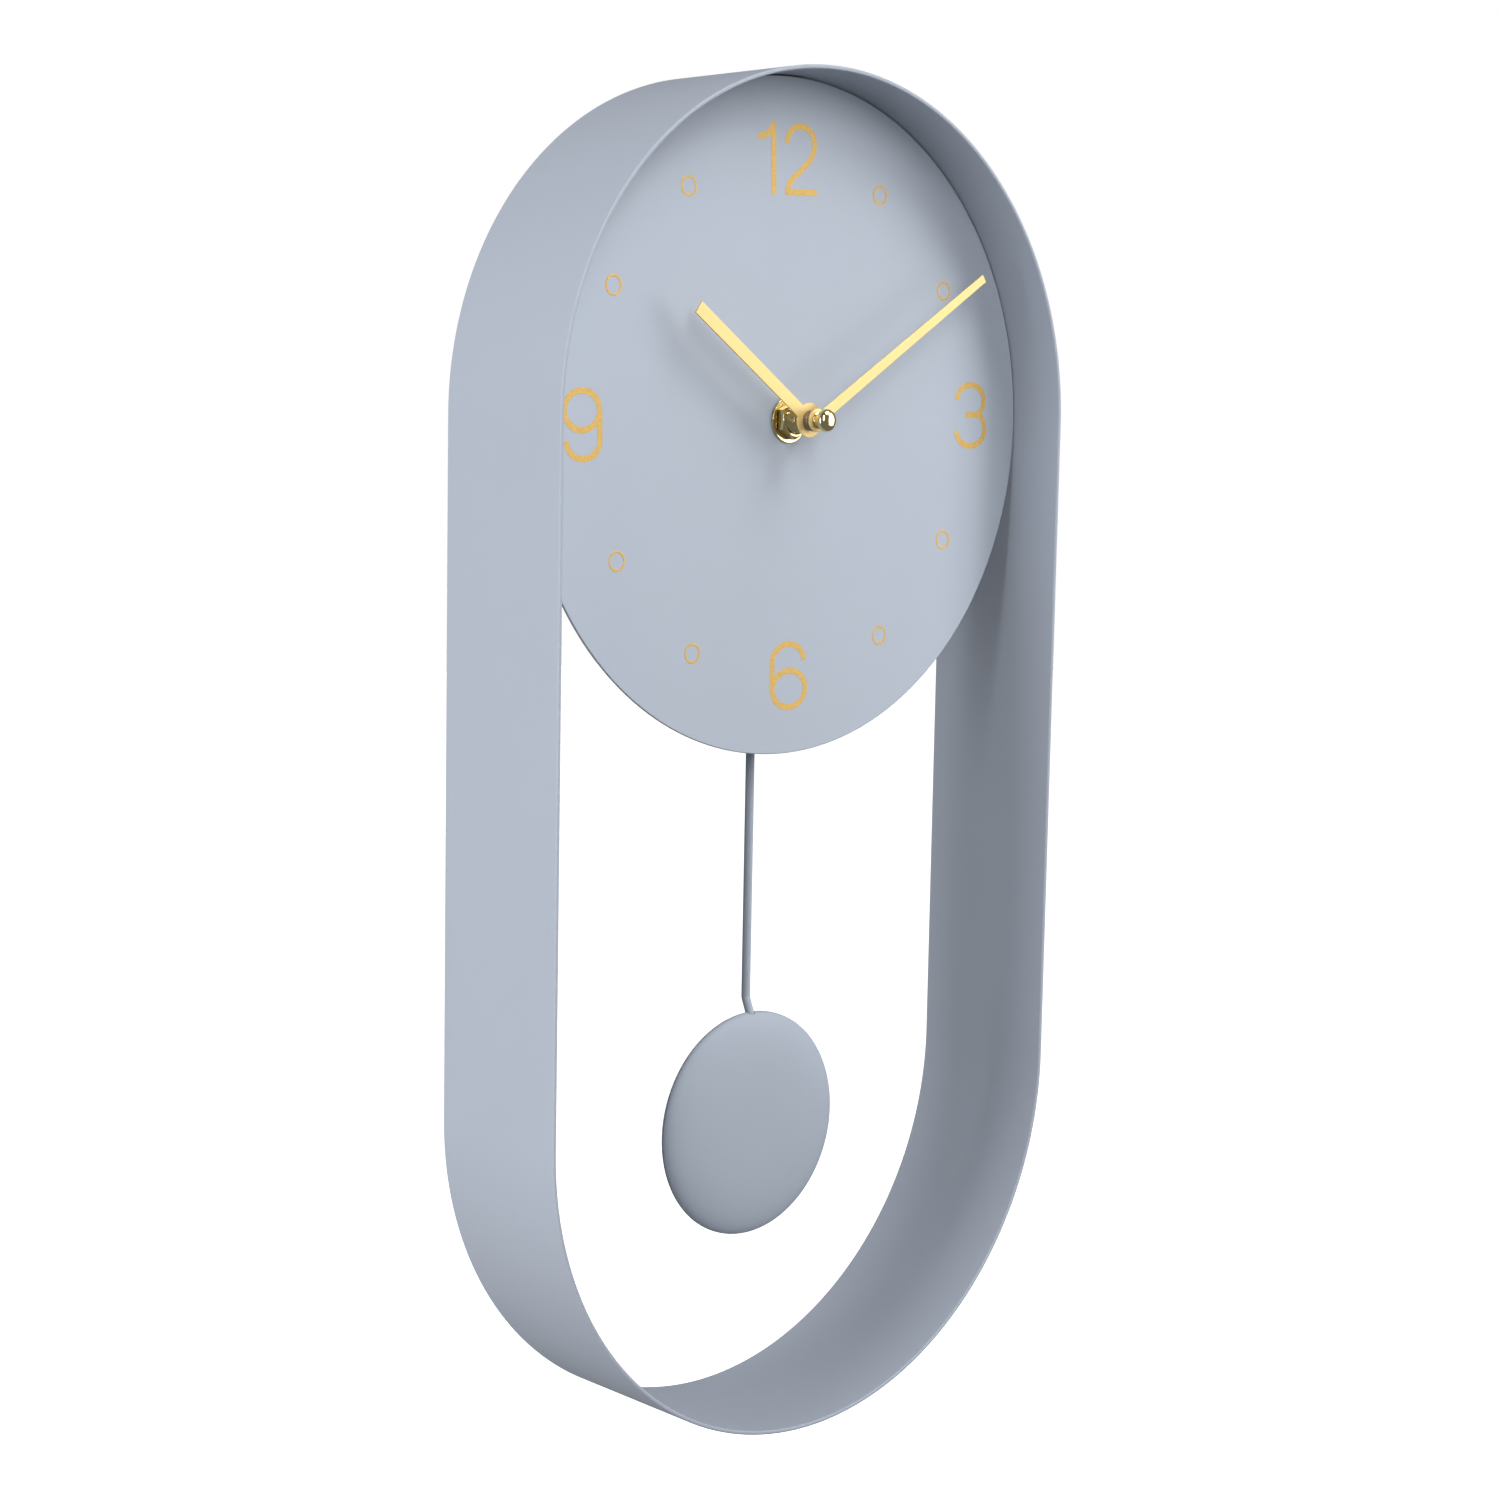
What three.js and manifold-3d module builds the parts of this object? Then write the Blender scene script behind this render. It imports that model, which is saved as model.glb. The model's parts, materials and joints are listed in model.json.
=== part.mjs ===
// Pendulum wall clock: a long oval steel band, a round dial with two hands, and a disc pendulum.
// Millimetres. X to the viewer's right, Y towards the wall, Z up. The wall is the plane y = 0, and the
// origin is where the wall screw holds the top of the hanger's keyhole. The hands stand at ten past ten.
import * as THREE from "three";
import { mergeVertices } from "three/addons/utils/BufferGeometryUtils.js";
import Module from "manifold-3d";

// ---- driving dimensions -------------------------------------------------------------------------

const gap = 0.3; // between two pieces that touch
const play = 0.15; // radial, between a shaft and its bearing
const layerGap = 0.4; // along the shafts, between one layer of the train and the next

const band = { radius: 100, straight: 200, depth: 50, sheet: 1.2 };
const hanger = { aboveDial: 60, armTop: 6, armBottom: -10, sheet: 1.5, foldDepth: 14, foldWidth: 19 };
const keyhole = { slotRadius: 2.3, mouthRadius: 4.6, mouthDrop: 7 };
const keyPlate = { half: 14, top: 10, bottom: -16, corner: 4, shoulder: 2 };

const dial = { setback: 18.5, sheet: 1, edgeGap: 0.4 };
const bracket = { width: 12, sheet: 1, dialLeg: 13, bandLeg: 11, angles: { top: 90, left: 170, right: 10 } };

const bushing = { radius: 3.9, bore: 2.75, flangeReach: 1.6, flange: 1.2, stand: 7, chamfer: 0.4 };
const dialNut = { wall: 1.1, thickness: 2.5 }; // wall between the bushing and a flat
const dialWasher = { reach: 2.85, thickness: 0.5 }; // reach past the bushing, as the gasket's
const gasket = { reach: 5.1, thickness: 0.8 };

const hands = { sheet: 0.5, hourStand: 8.75, minuteStand: 12.15 };
const hourHand = { length: 53.5, rootWidth: 3.8, tipWidth: 4, hubRadius: 5, angle: 304.8 };
const minuteHand = { length: 82, rootWidth: 3.3, tipWidth: 2.5, hubRadius: 3.4, angle: 57.5 };
const hourPipe = { radius: 2.5, bore: 1.9, seatRadius: 2.2 };
const minuteShaft = { radius: 1.6, tipRadius: 1.1, rearRadius: 1.2, rearBore: 0.65 };
const collar = { radius: 3, rimRadius: 3.2 };
const capNut = { radius: 3.35, neckRadius: 2.2, length: 5.2 };

const movement = { besideKnob: 10, above: 30, depth: 24.1, wall: 1.6, cornerRadius: 4 };
const screw = { radius: 0.75, headRadius: 1.7, head: 1.1, post: 1.9 };
const plate = 1; // thickness of the two train plates
const plateRim = { left: 5.3, right: 4.5, screw: 0.6 }; // past the rotor's, knob's and screws' axes
const pillarShift = { upper: { x: 2, z: 2 }, left: { x: -5.8, z: 4 }, lower: { x: -1.5, z: -0.7 } };
const tongue = { left: -4, right: 5, below: 5 }; // of the rear plate, round and below the rocker's pin
const wheelWidth = 1.2;
const pivot = 0.5;
const clutch = { radius: 3, sheet: 0.4 };

const train = {
  motion: { module: 0.5, cannon: 10, motion: 30, motionPinion: 8, hour: 32, set: 10 },
  centre: { module: 0.34, centre: 48, pinion: 6 },
  third: { third: 45, pinion: 6 },
  seconds: { module: 0.4, seconds: 30, pinion: 6 },
  intermediate: { module: 0.34, intermediate: 36, pinion: 6 },
};
const knob = { radius: 7, thickness: 2.5, shaftRadius: 1.6, grips: 24, gripDepth: 0.5 };

const rotorMagnet = { radius: 3, thickness: 1.8 };
const stator = { sheet: 1, holeRadius: 3.5, yoke: 4.5, legWidth: 4, legDrop: 20, left: 6, right: 5.7 };
const coil = { bore: 2.3, tube: 3, radius: 4.3, flangeRadius: 4.6, flange: 0.8, length: 9 };
const core = { height: 4, sheet: 1 };
const board = { left: -24, right: 13, bottom: 18.5, top: 27, sheet: 1, peg: 0.8 };
const chip = { x: -13, radius: 3, height: 0.9 };
const crystal = { x: -1, radius: 1, length: 6 };

const battery = { radius: 7.25, length: 50.5, nubRadius: 2.75, nub: 1.2, play: 0.65 };
const contact = { sheet: 0.4, width: 12, springRise: 2.6 };
const bayRoof = { belowPlates: 1.175, sheet: 1 };

const pendulum = { behindRim: 32, swing: 8, pivotDrop: 34, hookDrop: 86 };
const rocker = { sheet: 2.4, boss: 3.2, armWidth: 4, hook: 3.6, pinRadius: 0.8 };
const magnetPad = { drop: 22, radius: 6 };
const rockerMagnet = { radius: 4, thickness: 3 };
const driveCoil = { radius: 7, tube: 3, bore: 2, flange: 0.8, airGap: 1.5 };
const rod = { radius: 1.4, bend: 2, hookStand: 3.4, hookTip: 4.5 };
const rodJog = { below: 6.5, ends: 11.5, aboveDisc: 4.4, entry: 0.2 }; // heights from the hook and the rim
const bob = { radius: 34.3, drop: 212.6, front: 5, back: 4, sheet: 0.8, behindRim: 30, edgePower: 3.2 };
const sleeve = { radius: 2.3, length: 12, belowRim: 8 };

// ---- solids -------------------------------------------------------------------------------------

const wasm = await Module();
wasm.setup();

// A closed geometry as a solid that can be joined and cut.
function toSolid(geometry) {
  const bare = geometry.index ? geometry.toNonIndexed() : geometry.clone();
  bare.deleteAttribute("normal");
  bare.deleteAttribute("uv");
  const merged = mergeVertices(bare, 1e-4);
  const triVerts = [];
  for (let i = 0; i < merged.index.count; i += 3) {
    const [a, b, c] = [0, 1, 2].map((k) => merged.index.getX(i + k));
    if (a !== b && b !== c && c !== a) triVerts.push(a, b, c);
  }
  return new wasm.Manifold(
    new wasm.Mesh({
      numProp: 3,
      vertProperties: new Float32Array(merged.attributes.position.array),
      triVerts: new Uint32Array(triVerts),
    }),
  );
}

function toGeometry(solid) {
  const mesh = solid.getMesh();
  const geometry = new THREE.BufferGeometry();
  geometry.setAttribute("position", new THREE.BufferAttribute(mesh.vertProperties, 3));
  geometry.setIndex(new THREE.BufferAttribute(mesh.triVerts, 1));
  const flat = geometry.toNonIndexed();
  flat.computeVertexNormals();
  return flat;
}

const join = (first, ...rest) =>
  toGeometry(rest.reduce((sum, piece) => sum.add(toSolid(piece)), toSolid(first)));
const cut = (first, ...tools) =>
  toGeometry(tools.reduce((left, tool) => left.subtract(toSolid(tool)), toSolid(first)));

// ---- outlines, drawn as seen from the front, and the slabs made from them -----------------------

const TAU = 2 * Math.PI;
const radians = THREE.MathUtils.degToRad;

// An outline carried from depth `front` to depth `back`.
function slab(outline, front, back, curveSegments = 12) {
  return new THREE.ExtrudeGeometry(outline, { depth: back - front, bevelEnabled: false, curveSegments })
    .rotateX(Math.PI / 2)
    .translate(0, back, 0);
}

function polygon(points) {
  return new THREE.Shape(points.map(([x, z]) => new THREE.Vector2(x, z)));
}

function rectangle(left, bottom, right, top) {
  return polygon([[left, bottom], [right, bottom], [right, top], [left, top]]);
}

function roundedRectangle(left, bottom, right, top, r) {
  const outline = new THREE.Shape();
  outline.absarc(right - r, top - r, r, 0, Math.PI / 2);
  outline.absarc(left + r, top - r, r, Math.PI / 2, Math.PI);
  outline.absarc(left + r, bottom + r, r, Math.PI, 1.5 * Math.PI);
  outline.absarc(right - r, bottom + r, r, 1.5 * Math.PI, TAU);
  return outline;
}

// Points of a circle with the given number of sides.
function ring(radius, sides, x = 0, z = 0, turn = 0) {
  return Array.from({ length: sides }, (_, i) => {
    const angle = turn + (TAU * i) / sides;
    return [x + radius * Math.cos(angle), z + radius * Math.sin(angle)];
  });
}

// A round bar along Y, with a bore if one is given.
function bar(radius, front, back, { x = 0, z = 0, bore = 0, sides = 16 } = {}) {
  const outline = polygon(ring(radius, sides, x, z));
  if (bore) outline.holes.push(polygon(ring(bore, sides, x, z)));
  return slab(outline, front, back);
}

// A slab with round holes right through it.
function drilled(outline, front, back, holes) {
  const drills = holes.map(({ x, z, radius }) => bar(radius, front - 1, back + 1, { x, z, sides: 10 }));
  return cut(slab(outline, front, back, 6), ...drills);
}

// A round bar along Z between two heights.
function post(radius, x, y, bottom, top, sides = 12) {
  return new THREE.CylinderGeometry(radius, radius, top - bottom, sides)
    .rotateX(Math.PI / 2)
    .translate(x, y, (bottom + top) / 2);
}

// A profile of [radius, depth] points turned about the Y axis. It runs backwards along the outside.
function turned(profile, sides = 20) {
  return new THREE.LatheGeometry(profile.map(([r, y]) => new THREE.Vector2(r, y)), sides);
}

// A toothed outline with straight flanks. One tooth is centred on the angle `phase`.
function toothed(teeth, module, phase = 0, x = 0, z = 0) {
  const pitchRadius = (teeth * module) / 2;
  const root = pitchRadius - 1.25 * module;
  const tip = pitchRadius + 0.85 * module;
  const step = TAU / teeth;
  const corners = [[root, -0.3], [tip, -0.1], [tip, 0.1], [root, 0.3]];
  const points = [];
  for (let tooth = 0; tooth < teeth; tooth += 1) {
    for (const [radius, share] of corners) {
      const angle = phase + step * (tooth + share);
      points.push([x + radius * Math.cos(angle), z + radius * Math.sin(angle)]);
    }
  }
  return polygon(points);
}

const pitch = (teeth, module) => (teeth * module) / 2;
// The phase that puts a gap of the second gear on a tooth of the first, along the direction `angle`.
const meshPhase = (angle, teeth) => angle + Math.PI + Math.PI / teeth;

// ---- depths, from the front rim to the wall -----------------------------------------------------

const rim = -band.depth;
const dialFace = rim + dial.setback;
const dialBack = dialFace + dial.sheet;
const gasketFront = dialBack + gap;
const gasketBack = gasketFront + gasket.thickness;
const movementFront = gasketBack + gap;
const floorY = movementFront + movement.wall; // inner face of the movement's front wall
const movementBack = movementFront + movement.depth;
const coverFront = movementBack - movement.wall;
const wallEnd = coverFront - gap; // rear edge of the movement's side walls

const layerAfter = (previous, space = layerGap, width = wheelWidth) => ({
  front: previous.back + space,
  back: previous.back + space + width,
});
const flangeLayer = { front: floorY + gap, back: floorY + gap + bushing.flange };
const hourLayer = layerAfter(flangeLayer);
const motionLayer = layerAfter(hourLayer);
const clutchLayer = layerAfter(motionLayer, gap, clutch.sheet);
const centreLayer = layerAfter(clutchLayer, gap);
const trainPlate = layerAfter(centreLayer, layerGap, plate);
const thirdLayer = layerAfter(trainPlate);
const secondsLayer = layerAfter(thirdLayer);
const intermediateLayer = layerAfter(secondsLayer);
const magnetLayer = layerAfter(intermediateLayer, layerGap, rotorMagnet.thickness);
const statorFront = (magnetLayer.front + magnetLayer.back - stator.sheet) / 2;
const statorLayer = { front: statorFront, back: statorFront + stator.sheet };
const rearPlate = layerAfter(magnetLayer, 2 * layerGap, plate);

const washerLayer = { front: dialFace - gap - dialWasher.thickness, back: dialFace - gap };
const nutLayer = { front: washerLayer.front - gap - dialNut.thickness, back: washerLayer.front - gap };
const hourHandLayer = { front: dialFace - hands.hourStand - hands.sheet, back: dialFace - hands.hourStand };
const minuteHandBack = dialFace - hands.minuteStand;
const minuteHandLayer = { front: minuteHandBack - hands.sheet, back: minuteHandBack };

// ---- where the shafts stand, as seen from the front with the hands' axis at 0, 0 ----------------

const motionAt = { x: pitch(train.motion.cannon + train.motion.motion, train.motion.module), z: 0 };
const setAt = { x: motionAt.x + pitch(train.motion.motion + train.motion.set, train.motion.module), z: 0 };
const thirdAt = { x: 0, z: pitch(train.centre.centre + train.centre.pinion, train.centre.module) };
// The seconds wheel shares the hands' axis, so its pinion's module follows from how far the third wheel is.
const thirdModule = (2 * thirdAt.z) / (train.third.third + train.third.pinion);
const intermediateAt = {
  x: -pitch(train.seconds.seconds + train.seconds.pinion, train.seconds.module),
  z: 0,
};
const rotorAt = {
  x:
    intermediateAt.x -
    pitch(train.intermediate.intermediate + train.intermediate.pinion, train.intermediate.module),
  z: 0,
};
const tipRadius = (teeth, module) => pitch(teeth, module) + 0.85 * module;
const thirdTop = thirdAt.z + tipRadius(train.third.third, thirdModule);
const sideRoom = screw.post + 2 * layerGap; // from a wheel's tip to the middle of a pillar
const motionTip = tipRadius(train.motion.motion, train.motion.module);
const pillars = [
  { x: motionAt.x + pillarShift.upper.x, z: motionTip + sideRoom + pillarShift.upper.z },
  { x: intermediateAt.x + pillarShift.left.x, z: thirdAt.z + pillarShift.left.z },
  { x: motionAt.x + pillarShift.lower.x, z: -motionTip - sideRoom + pillarShift.lower.z },
];

const plateBottom = pillars[2].z - screw.post - plateRim.screw; // of both train plates

// ---- the movement's outline and battery bay -----------------------------------------------------

const side = setAt.x + movement.besideKnob; // half of the movement's width
const inner = side - movement.wall;
const bayWidth = 2 * (battery.radius + battery.play);
const batteryAt = { x: inner - bayWidth / 2, y: wallEnd - gap - battery.radius };
const ribRight = inner - bayWidth;
const ribLeft = ribRight - 0.8;
const bayTop = plateBottom - bayRoof.belowPlates;
const bayCeiling = bayTop - bayRoof.sheet;
const batteryTop = bayCeiling - gap - contact.sheet - gap;
const batteryBottom = batteryTop - battery.length;
const bayFloor = batteryBottom - gap - contact.springRise - gap;
const movementBottom = bayFloor - movement.wall;
const movementTop = movement.above;
const postInset = screw.post - 0.4; // from a wall's inner face to the middle of a post that grows out of it
const coverScrews = [
  { x: -inner + postInset, z: movementTop - movement.wall - postInset },
  { x: inner - postInset, z: movementTop - movement.wall - postInset },
  { x: -inner + postInset, z: bayFloor + postInset },
  { x: ribLeft - postInset, z: bayFloor + postInset },
];

const rodY = rim + pendulum.behindRim;
const rockerLayer = { front: rodY - rocker.sheet / 2, back: rodY + rocker.sheet / 2 };
const pivotZ = -pendulum.pivotDrop;
const hookZ = -pendulum.hookDrop;
const driveAt = pivotZ - magnetPad.drop;
const bobY = rim + bob.behindRim;

// ---- materials ----------------------------------------------------------------------------------

const paint = (color, roughness, metalness) =>
  new THREE.MeshStandardMaterial({ color, roughness, metalness });
const materials = {
  casePaint: paint(0xa3aab6, 0.55, 0.1),
  dialPaint: paint(0xb0b8c4, 0.6, 0.1),
  bobPaint: paint(0xa4acb8, 0.5, 0.1),
  gold: paint(0xf5d98a, 0.3, 1),
  brass: paint(0xd8b866, 0.2, 1),
  steel: paint(0xb9bcc0, 0.35, 1),
  zinc: paint(0xc3c5c6, 0.4, 1),
  blackPlastic: paint(0x1d1e20, 0.5, 0),
  whitePlastic: paint(0xe9e7df, 0.45, 0),
  rubber: paint(0x2a2a2b, 0.9, 0),
  copper: paint(0xb4673a, 0.35, 1),
  board: paint(0x2f5d3a, 0.5, 0),
  epoxy: paint(0x151516, 0.3, 0),
  magnet: paint(0x5b5d60, 0.45, 0.8),
  batteryWrap: paint(0x33435c, 0.35, 0.2),
};

const clock = new THREE.Group();
const onDial = new THREE.Group(); // everything that is placed from the hands' axis
onDial.position.z = -hanger.aboveDial;
clock.add(onDial);

function piece(name, geometry, material, group = onDial) {
  const mesh = new THREE.Mesh(geometry, material);
  mesh.name = name;
  group.add(mesh);
}

// ---- case: band, dial, brackets, hanger ---------------------------------------------------------

// A half circle over the hands' axis, straight sides down, and a half circle under them.
function ovalOutline(radius) {
  const outline = new THREE.Shape();
  outline.absarc(0, 0, radius, 0, Math.PI);
  outline.absarc(0, -band.straight, radius, Math.PI, TAU);
  outline.closePath();
  return outline;
}

const bandInner = band.radius - band.sheet;
const dialRadius = bandInner - dial.edgeGap;

function caseBand() {
  const outline = ovalOutline(band.radius);
  outline.holes.push(ovalOutline(bandInner));
  return slab(outline, rim, 0, 24);
}

// An angle whose long leg lies on the dial's back and whose short leg runs back along the band.
function dialBracket(degrees) {
  const sagitta = bandInner - Math.sqrt(bandInner ** 2 - (bracket.width / 2) ** 2);
  const outside = bandInner - sagitta - gap;
  const front = dialBack + gap;
  const profile = new THREE.Shape([
    new THREE.Vector2(outside - bracket.dialLeg, 0),
    new THREE.Vector2(outside, 0),
    new THREE.Vector2(outside, bracket.bandLeg),
    new THREE.Vector2(outside - bracket.sheet, bracket.bandLeg),
    new THREE.Vector2(outside - bracket.sheet, bracket.sheet),
    new THREE.Vector2(outside - bracket.dialLeg, bracket.sheet),
  ]);
  return new THREE.ExtrudeGeometry(profile, { depth: bracket.width, bevelEnabled: false })
    .translate(0, front, -bracket.width / 2)
    .rotateY(-radians(degrees));
}

// A flat bar across the back of the band, with its ends folded forwards along the band's inside.
function hangerBar() {
  const middle = hanger.aboveDial + (hanger.armTop + hanger.armBottom) / 2;
  const across = Math.sqrt(bandInner ** 2 - middle ** 2);
  const angle = Math.atan2(middle, across);
  const sagitta = bandInner - Math.sqrt(bandInner ** 2 - (hanger.foldWidth / 2) ** 2);
  const foldOutside = bandInner - sagitta - gap;
  const foldInside = foldOutside - hanger.sheet;
  // Where a level line at height z meets the fold's plane, half a sheet inside its outer face.
  const reach = (z) =>
    (foldOutside - hanger.sheet / 2 - (z + hanger.aboveDial) * Math.sin(angle)) / Math.cos(angle);
  const { armTop, armBottom } = hanger;
  const right = [
    [keyPlate.half - keyPlate.corner, keyPlate.bottom],
    [keyPlate.half, keyPlate.bottom + keyPlate.corner],
    [keyPlate.half + keyPlate.shoulder, armBottom],
    [reach(armBottom), armBottom],
    [reach(armTop), armTop],
    [keyPlate.half + keyPlate.shoulder, armTop],
    [keyPlate.half - keyPlate.corner, keyPlate.top],
  ];
  const left = right.map(([x, z]) => [-x, z]).reverse();
  const fold = new THREE.BoxGeometry(foldOutside - foldInside, hanger.foldDepth, hanger.foldWidth).translate(
    (foldOutside + foldInside) / 2,
    -hanger.foldDepth / 2,
    0,
  );
  const folds = [angle, Math.PI - angle].map((turn) =>
    fold.clone().rotateY(-turn).translate(0, 0, -hanger.aboveDial),
  );
  const slot = polygon([
    ...ring(keyhole.slotRadius, 24).slice(0, 13),
    [-keyhole.slotRadius, -keyhole.mouthDrop],
    [keyhole.slotRadius, -keyhole.mouthDrop],
  ]);
  const strip = cut(
    slab(polygon([...right, ...left]), -hanger.sheet, 0),
    slab(slot, -hanger.sheet - 1, 1),
    bar(keyhole.mouthRadius, -hanger.sheet - 1, 1, { z: -keyhole.mouthDrop, sides: 20 }),
  );
  return join(strip, ...folds);
}

piece("case_band", caseBand(), materials.casePaint);
piece(
  "dial_plate",
  bar(dialRadius, dialFace, dialBack, { bore: bushing.radius + gap, sides: 64 }),
  materials.dialPaint,
);
for (const [name, degrees] of Object.entries(bracket.angles))
  piece("dial_bracket_" + name, dialBracket(degrees), materials.casePaint);
piece("hanger_bar", hangerBar(), materials.casePaint, clock);

// ---- through the dial: bushing, nut, washer, gasket ---------------------------------------------

function dialNutShape() {
  const outline = polygon(ring((bushing.radius + dialNut.wall) / Math.cos(Math.PI / 6), 6));
  outline.holes.push(polygon(ring(bushing.radius + gap, 20)));
  return slab(outline, nutLayer.front, nutLayer.back);
}

const bushingFront = dialFace - bushing.stand;
piece(
  "dial_bushing",
  turned([
    [bushing.bore, flangeLayer.back],
    [bushing.bore, bushingFront],
    [bushing.radius - bushing.chamfer, bushingFront],
    [bushing.radius, bushingFront + bushing.chamfer],
    [bushing.radius, flangeLayer.front],
    [bushing.radius + bushing.flangeReach, flangeLayer.front],
    [bushing.radius + bushing.flangeReach, flangeLayer.back],
    [bushing.bore, flangeLayer.back],
  ]),
  materials.brass,
);
piece("dial_nut", dialNutShape(), materials.brass);
piece(
  "dial_washer",
  bar(bushing.radius + dialWasher.reach, washerLayer.front, washerLayer.back, {
    bore: bushing.radius + gap,
    sides: 24,
  }),
  materials.brass,
);
piece(
  "movement_gasket",
  bar(bushing.radius + gasket.reach, gasketFront, gasketBack, { bore: bushing.radius + gap, sides: 20 }),
  materials.rubber,
);

// ---- hands --------------------------------------------------------------------------------------

// A straight blade with a square tip and a round hub, pointing to twelve and then turned clockwise.
function hand({ length, rootWidth, tipWidth, hubRadius, angle }, hole, layer) {
  const start = hubRadius * 0.5;
  const blade = polygon([
    [-rootWidth / 2, start],
    [rootWidth / 2, start],
    [tipWidth / 2, length],
    [-tipWidth / 2, length],
  ]);
  return cut(
    join(slab(blade, layer.front, layer.back), bar(hubRadius, layer.front, layer.back, { sides: 20 })),
    bar(hole, layer.front - 1, layer.back + 1, { sides: 20 }),
  ).rotateY(radians(angle));
}

piece("hour_hand", hand(hourHand, hourPipe.seatRadius + gap, hourHandLayer), materials.gold);
piece("minute_hand", hand(minuteHand, minuteShaft.tipRadius + gap, minuteHandLayer), materials.gold);

const collarLayer = { front: minuteHandLayer.back + gap, back: hourHandLayer.front - gap };
const collarMiddle = (collarLayer.front + collarLayer.back) / 2;
piece(
  "minute_collar",
  turned([
    [minuteShaft.radius + gap, collarLayer.back],
    [minuteShaft.radius + gap, collarLayer.front],
    [collar.radius, collarLayer.front],
    [collar.rimRadius, collarMiddle],
    [collar.radius, collarLayer.back],
    [minuteShaft.radius + gap, collarLayer.back],
  ]),
  materials.steel,
);

const capBack = minuteHandLayer.front - gap;
const capFront = capBack - capNut.length;
const shaftTip = capBack - 0.6 * capNut.length;
// A short neck, then a ball with a flattened nose, bored from behind.
function capNutShape() {
  const ballMiddle = capBack - 0.62 * capNut.length;
  const ball = [];
  for (let i = 0; i <= 7; i += 1) {
    const angle = (i / 7) * Math.PI * 0.74;
    const height = Math.cos(angle) * (ballMiddle - capFront);
    ball.push([capNut.radius * Math.sin(angle) ** 0.75, ballMiddle - height]);
  }
  const bore = minuteShaft.tipRadius + play;
  return turned([
    ...ball,
    [capNut.neckRadius, capBack],
    [bore, capBack],
    [bore, shaftTip - gap],
    [0, shaftTip - gap],
  ]);
}
piece("cap_nut", capNutShape(), materials.brass);

// ---- motion works: the wheels that carry the hands ----------------------------------------------

const { module: motionModule } = train.motion;

function hourWheel() {
  const pipe = turned([
    [hourPipe.bore, hourLayer.back],
    [hourPipe.bore, hourHandLayer.front - gap],
    [hourPipe.seatRadius, hourHandLayer.front - gap],
    [hourPipe.seatRadius, hourHandLayer.back + gap],
    [hourPipe.radius, hourHandLayer.back + gap],
    [hourPipe.radius, hourLayer.back],
    [hourPipe.bore, hourLayer.back],
  ]);
  const wheel = toothed(train.motion.hour, motionModule, 0);
  wheel.holes.push(polygon(ring((hourPipe.radius + hourPipe.bore) / 2, 20)));
  return join(slab(wheel, hourLayer.front, hourLayer.back), pipe);
}
piece("hour_wheel", hourWheel(), materials.whitePlastic);

// The pinion meshes with the hour wheel, whose tooth points at it; the wheel's gap faces the cannon's tooth.
function motionWheel() {
  const { motion, motionPinion } = train.motion;
  const at = [motionAt.x, motionAt.z];
  return join(
    slab(toothed(motion, motionModule, meshPhase(0, motion), ...at), motionLayer.front, motionLayer.back),
    slab(
      toothed(motionPinion, motionModule, meshPhase(0, motionPinion), ...at),
      hourLayer.front,
      motionLayer.back - 0.2,
    ),
    bar(pivot, floorY + 2 * gap, trainPlate.back - gap, { ...motionAt, sides: 10 }),
  );
}
piece("motion_wheel", motionWheel(), materials.whitePlastic);

// Shaft of the minute hand, with the cannon pinion, and a bore behind for the seconds wheel's front pivot.
function minuteArbor() {
  const shoulder = clutchLayer.front - gap / 2;
  const rear = trainPlate.back - gap;
  const shaft = turned(
    [
      [0, shaftTip],
      [minuteShaft.tipRadius, shaftTip],
      [minuteShaft.tipRadius, collarLayer.front],
      [minuteShaft.radius, collarLayer.front],
      [minuteShaft.radius, shoulder],
      [minuteShaft.rearRadius, shoulder],
      [minuteShaft.rearRadius, rear],
      [minuteShaft.rearBore, rear],
      [minuteShaft.rearBore, rear - 1.6],
      [0, rear - 1.6],
    ],
    20,
  );
  const pinion = toothed(train.motion.cannon, motionModule, 0);
  return join(slab(pinion, motionLayer.front, motionLayer.back), shaft);
}
piece("minute_arbor", minuteArbor(), materials.steel);
piece(
  "clutch_spring",
  bar(clutch.radius, clutchLayer.front, clutchLayer.back, { bore: minuteShaft.rearRadius + play, sides: 16 }),
  materials.brass,
);

// Setting knob behind the cover, on a shaft whose pinion meshes with the motion wheel.
function setKnob() {
  const { motion, set } = train.motion;
  const knobFront = movementBack + gap;
  const grip = [];
  for (let i = 0; i < 2 * knob.grips; i += 1) {
    const angle = (TAU * i) / (2 * knob.grips);
    const radius = knob.radius - (i % 2) * knob.gripDepth;
    grip.push([setAt.x + radius * Math.cos(angle), setAt.z + radius * Math.sin(angle)]);
  }
  // A tooth of the motion wheel may stand anywhere on the far side, so the phase follows its own.
  const motionPhase = meshPhase(0, motion);
  const nearestTooth = Math.round(-motionPhase / (TAU / motion)) * (TAU / motion) + motionPhase;
  const phase = meshPhase(0, set) - (nearestTooth * motion) / set;
  return join(
    slab(polygon(grip), knobFront, knobFront + knob.thickness),
    bar(knob.shaftRadius, motionLayer.back - 0.2, knobFront + 0.5, { ...setAt, sides: 10 }),
    slab(toothed(set, motionModule, phase, setAt.x, setAt.z), motionLayer.front, motionLayer.back),
    bar(pivot, floorY + 2 * gap, motionLayer.back, { ...setAt, sides: 10 }),
  );
}
piece("set_knob", setKnob(), materials.whitePlastic);

// ---- going train: from the rotor to the centre wheel --------------------------------------------

// A wheel and a pinion on one shaft that runs in the two train plates.
function arborWith(at, parts, front, back) {
  const shaft = bar(pivot, front, back, { ...at, sides: 10 });
  return join(...parts, shaft);
}

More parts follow.
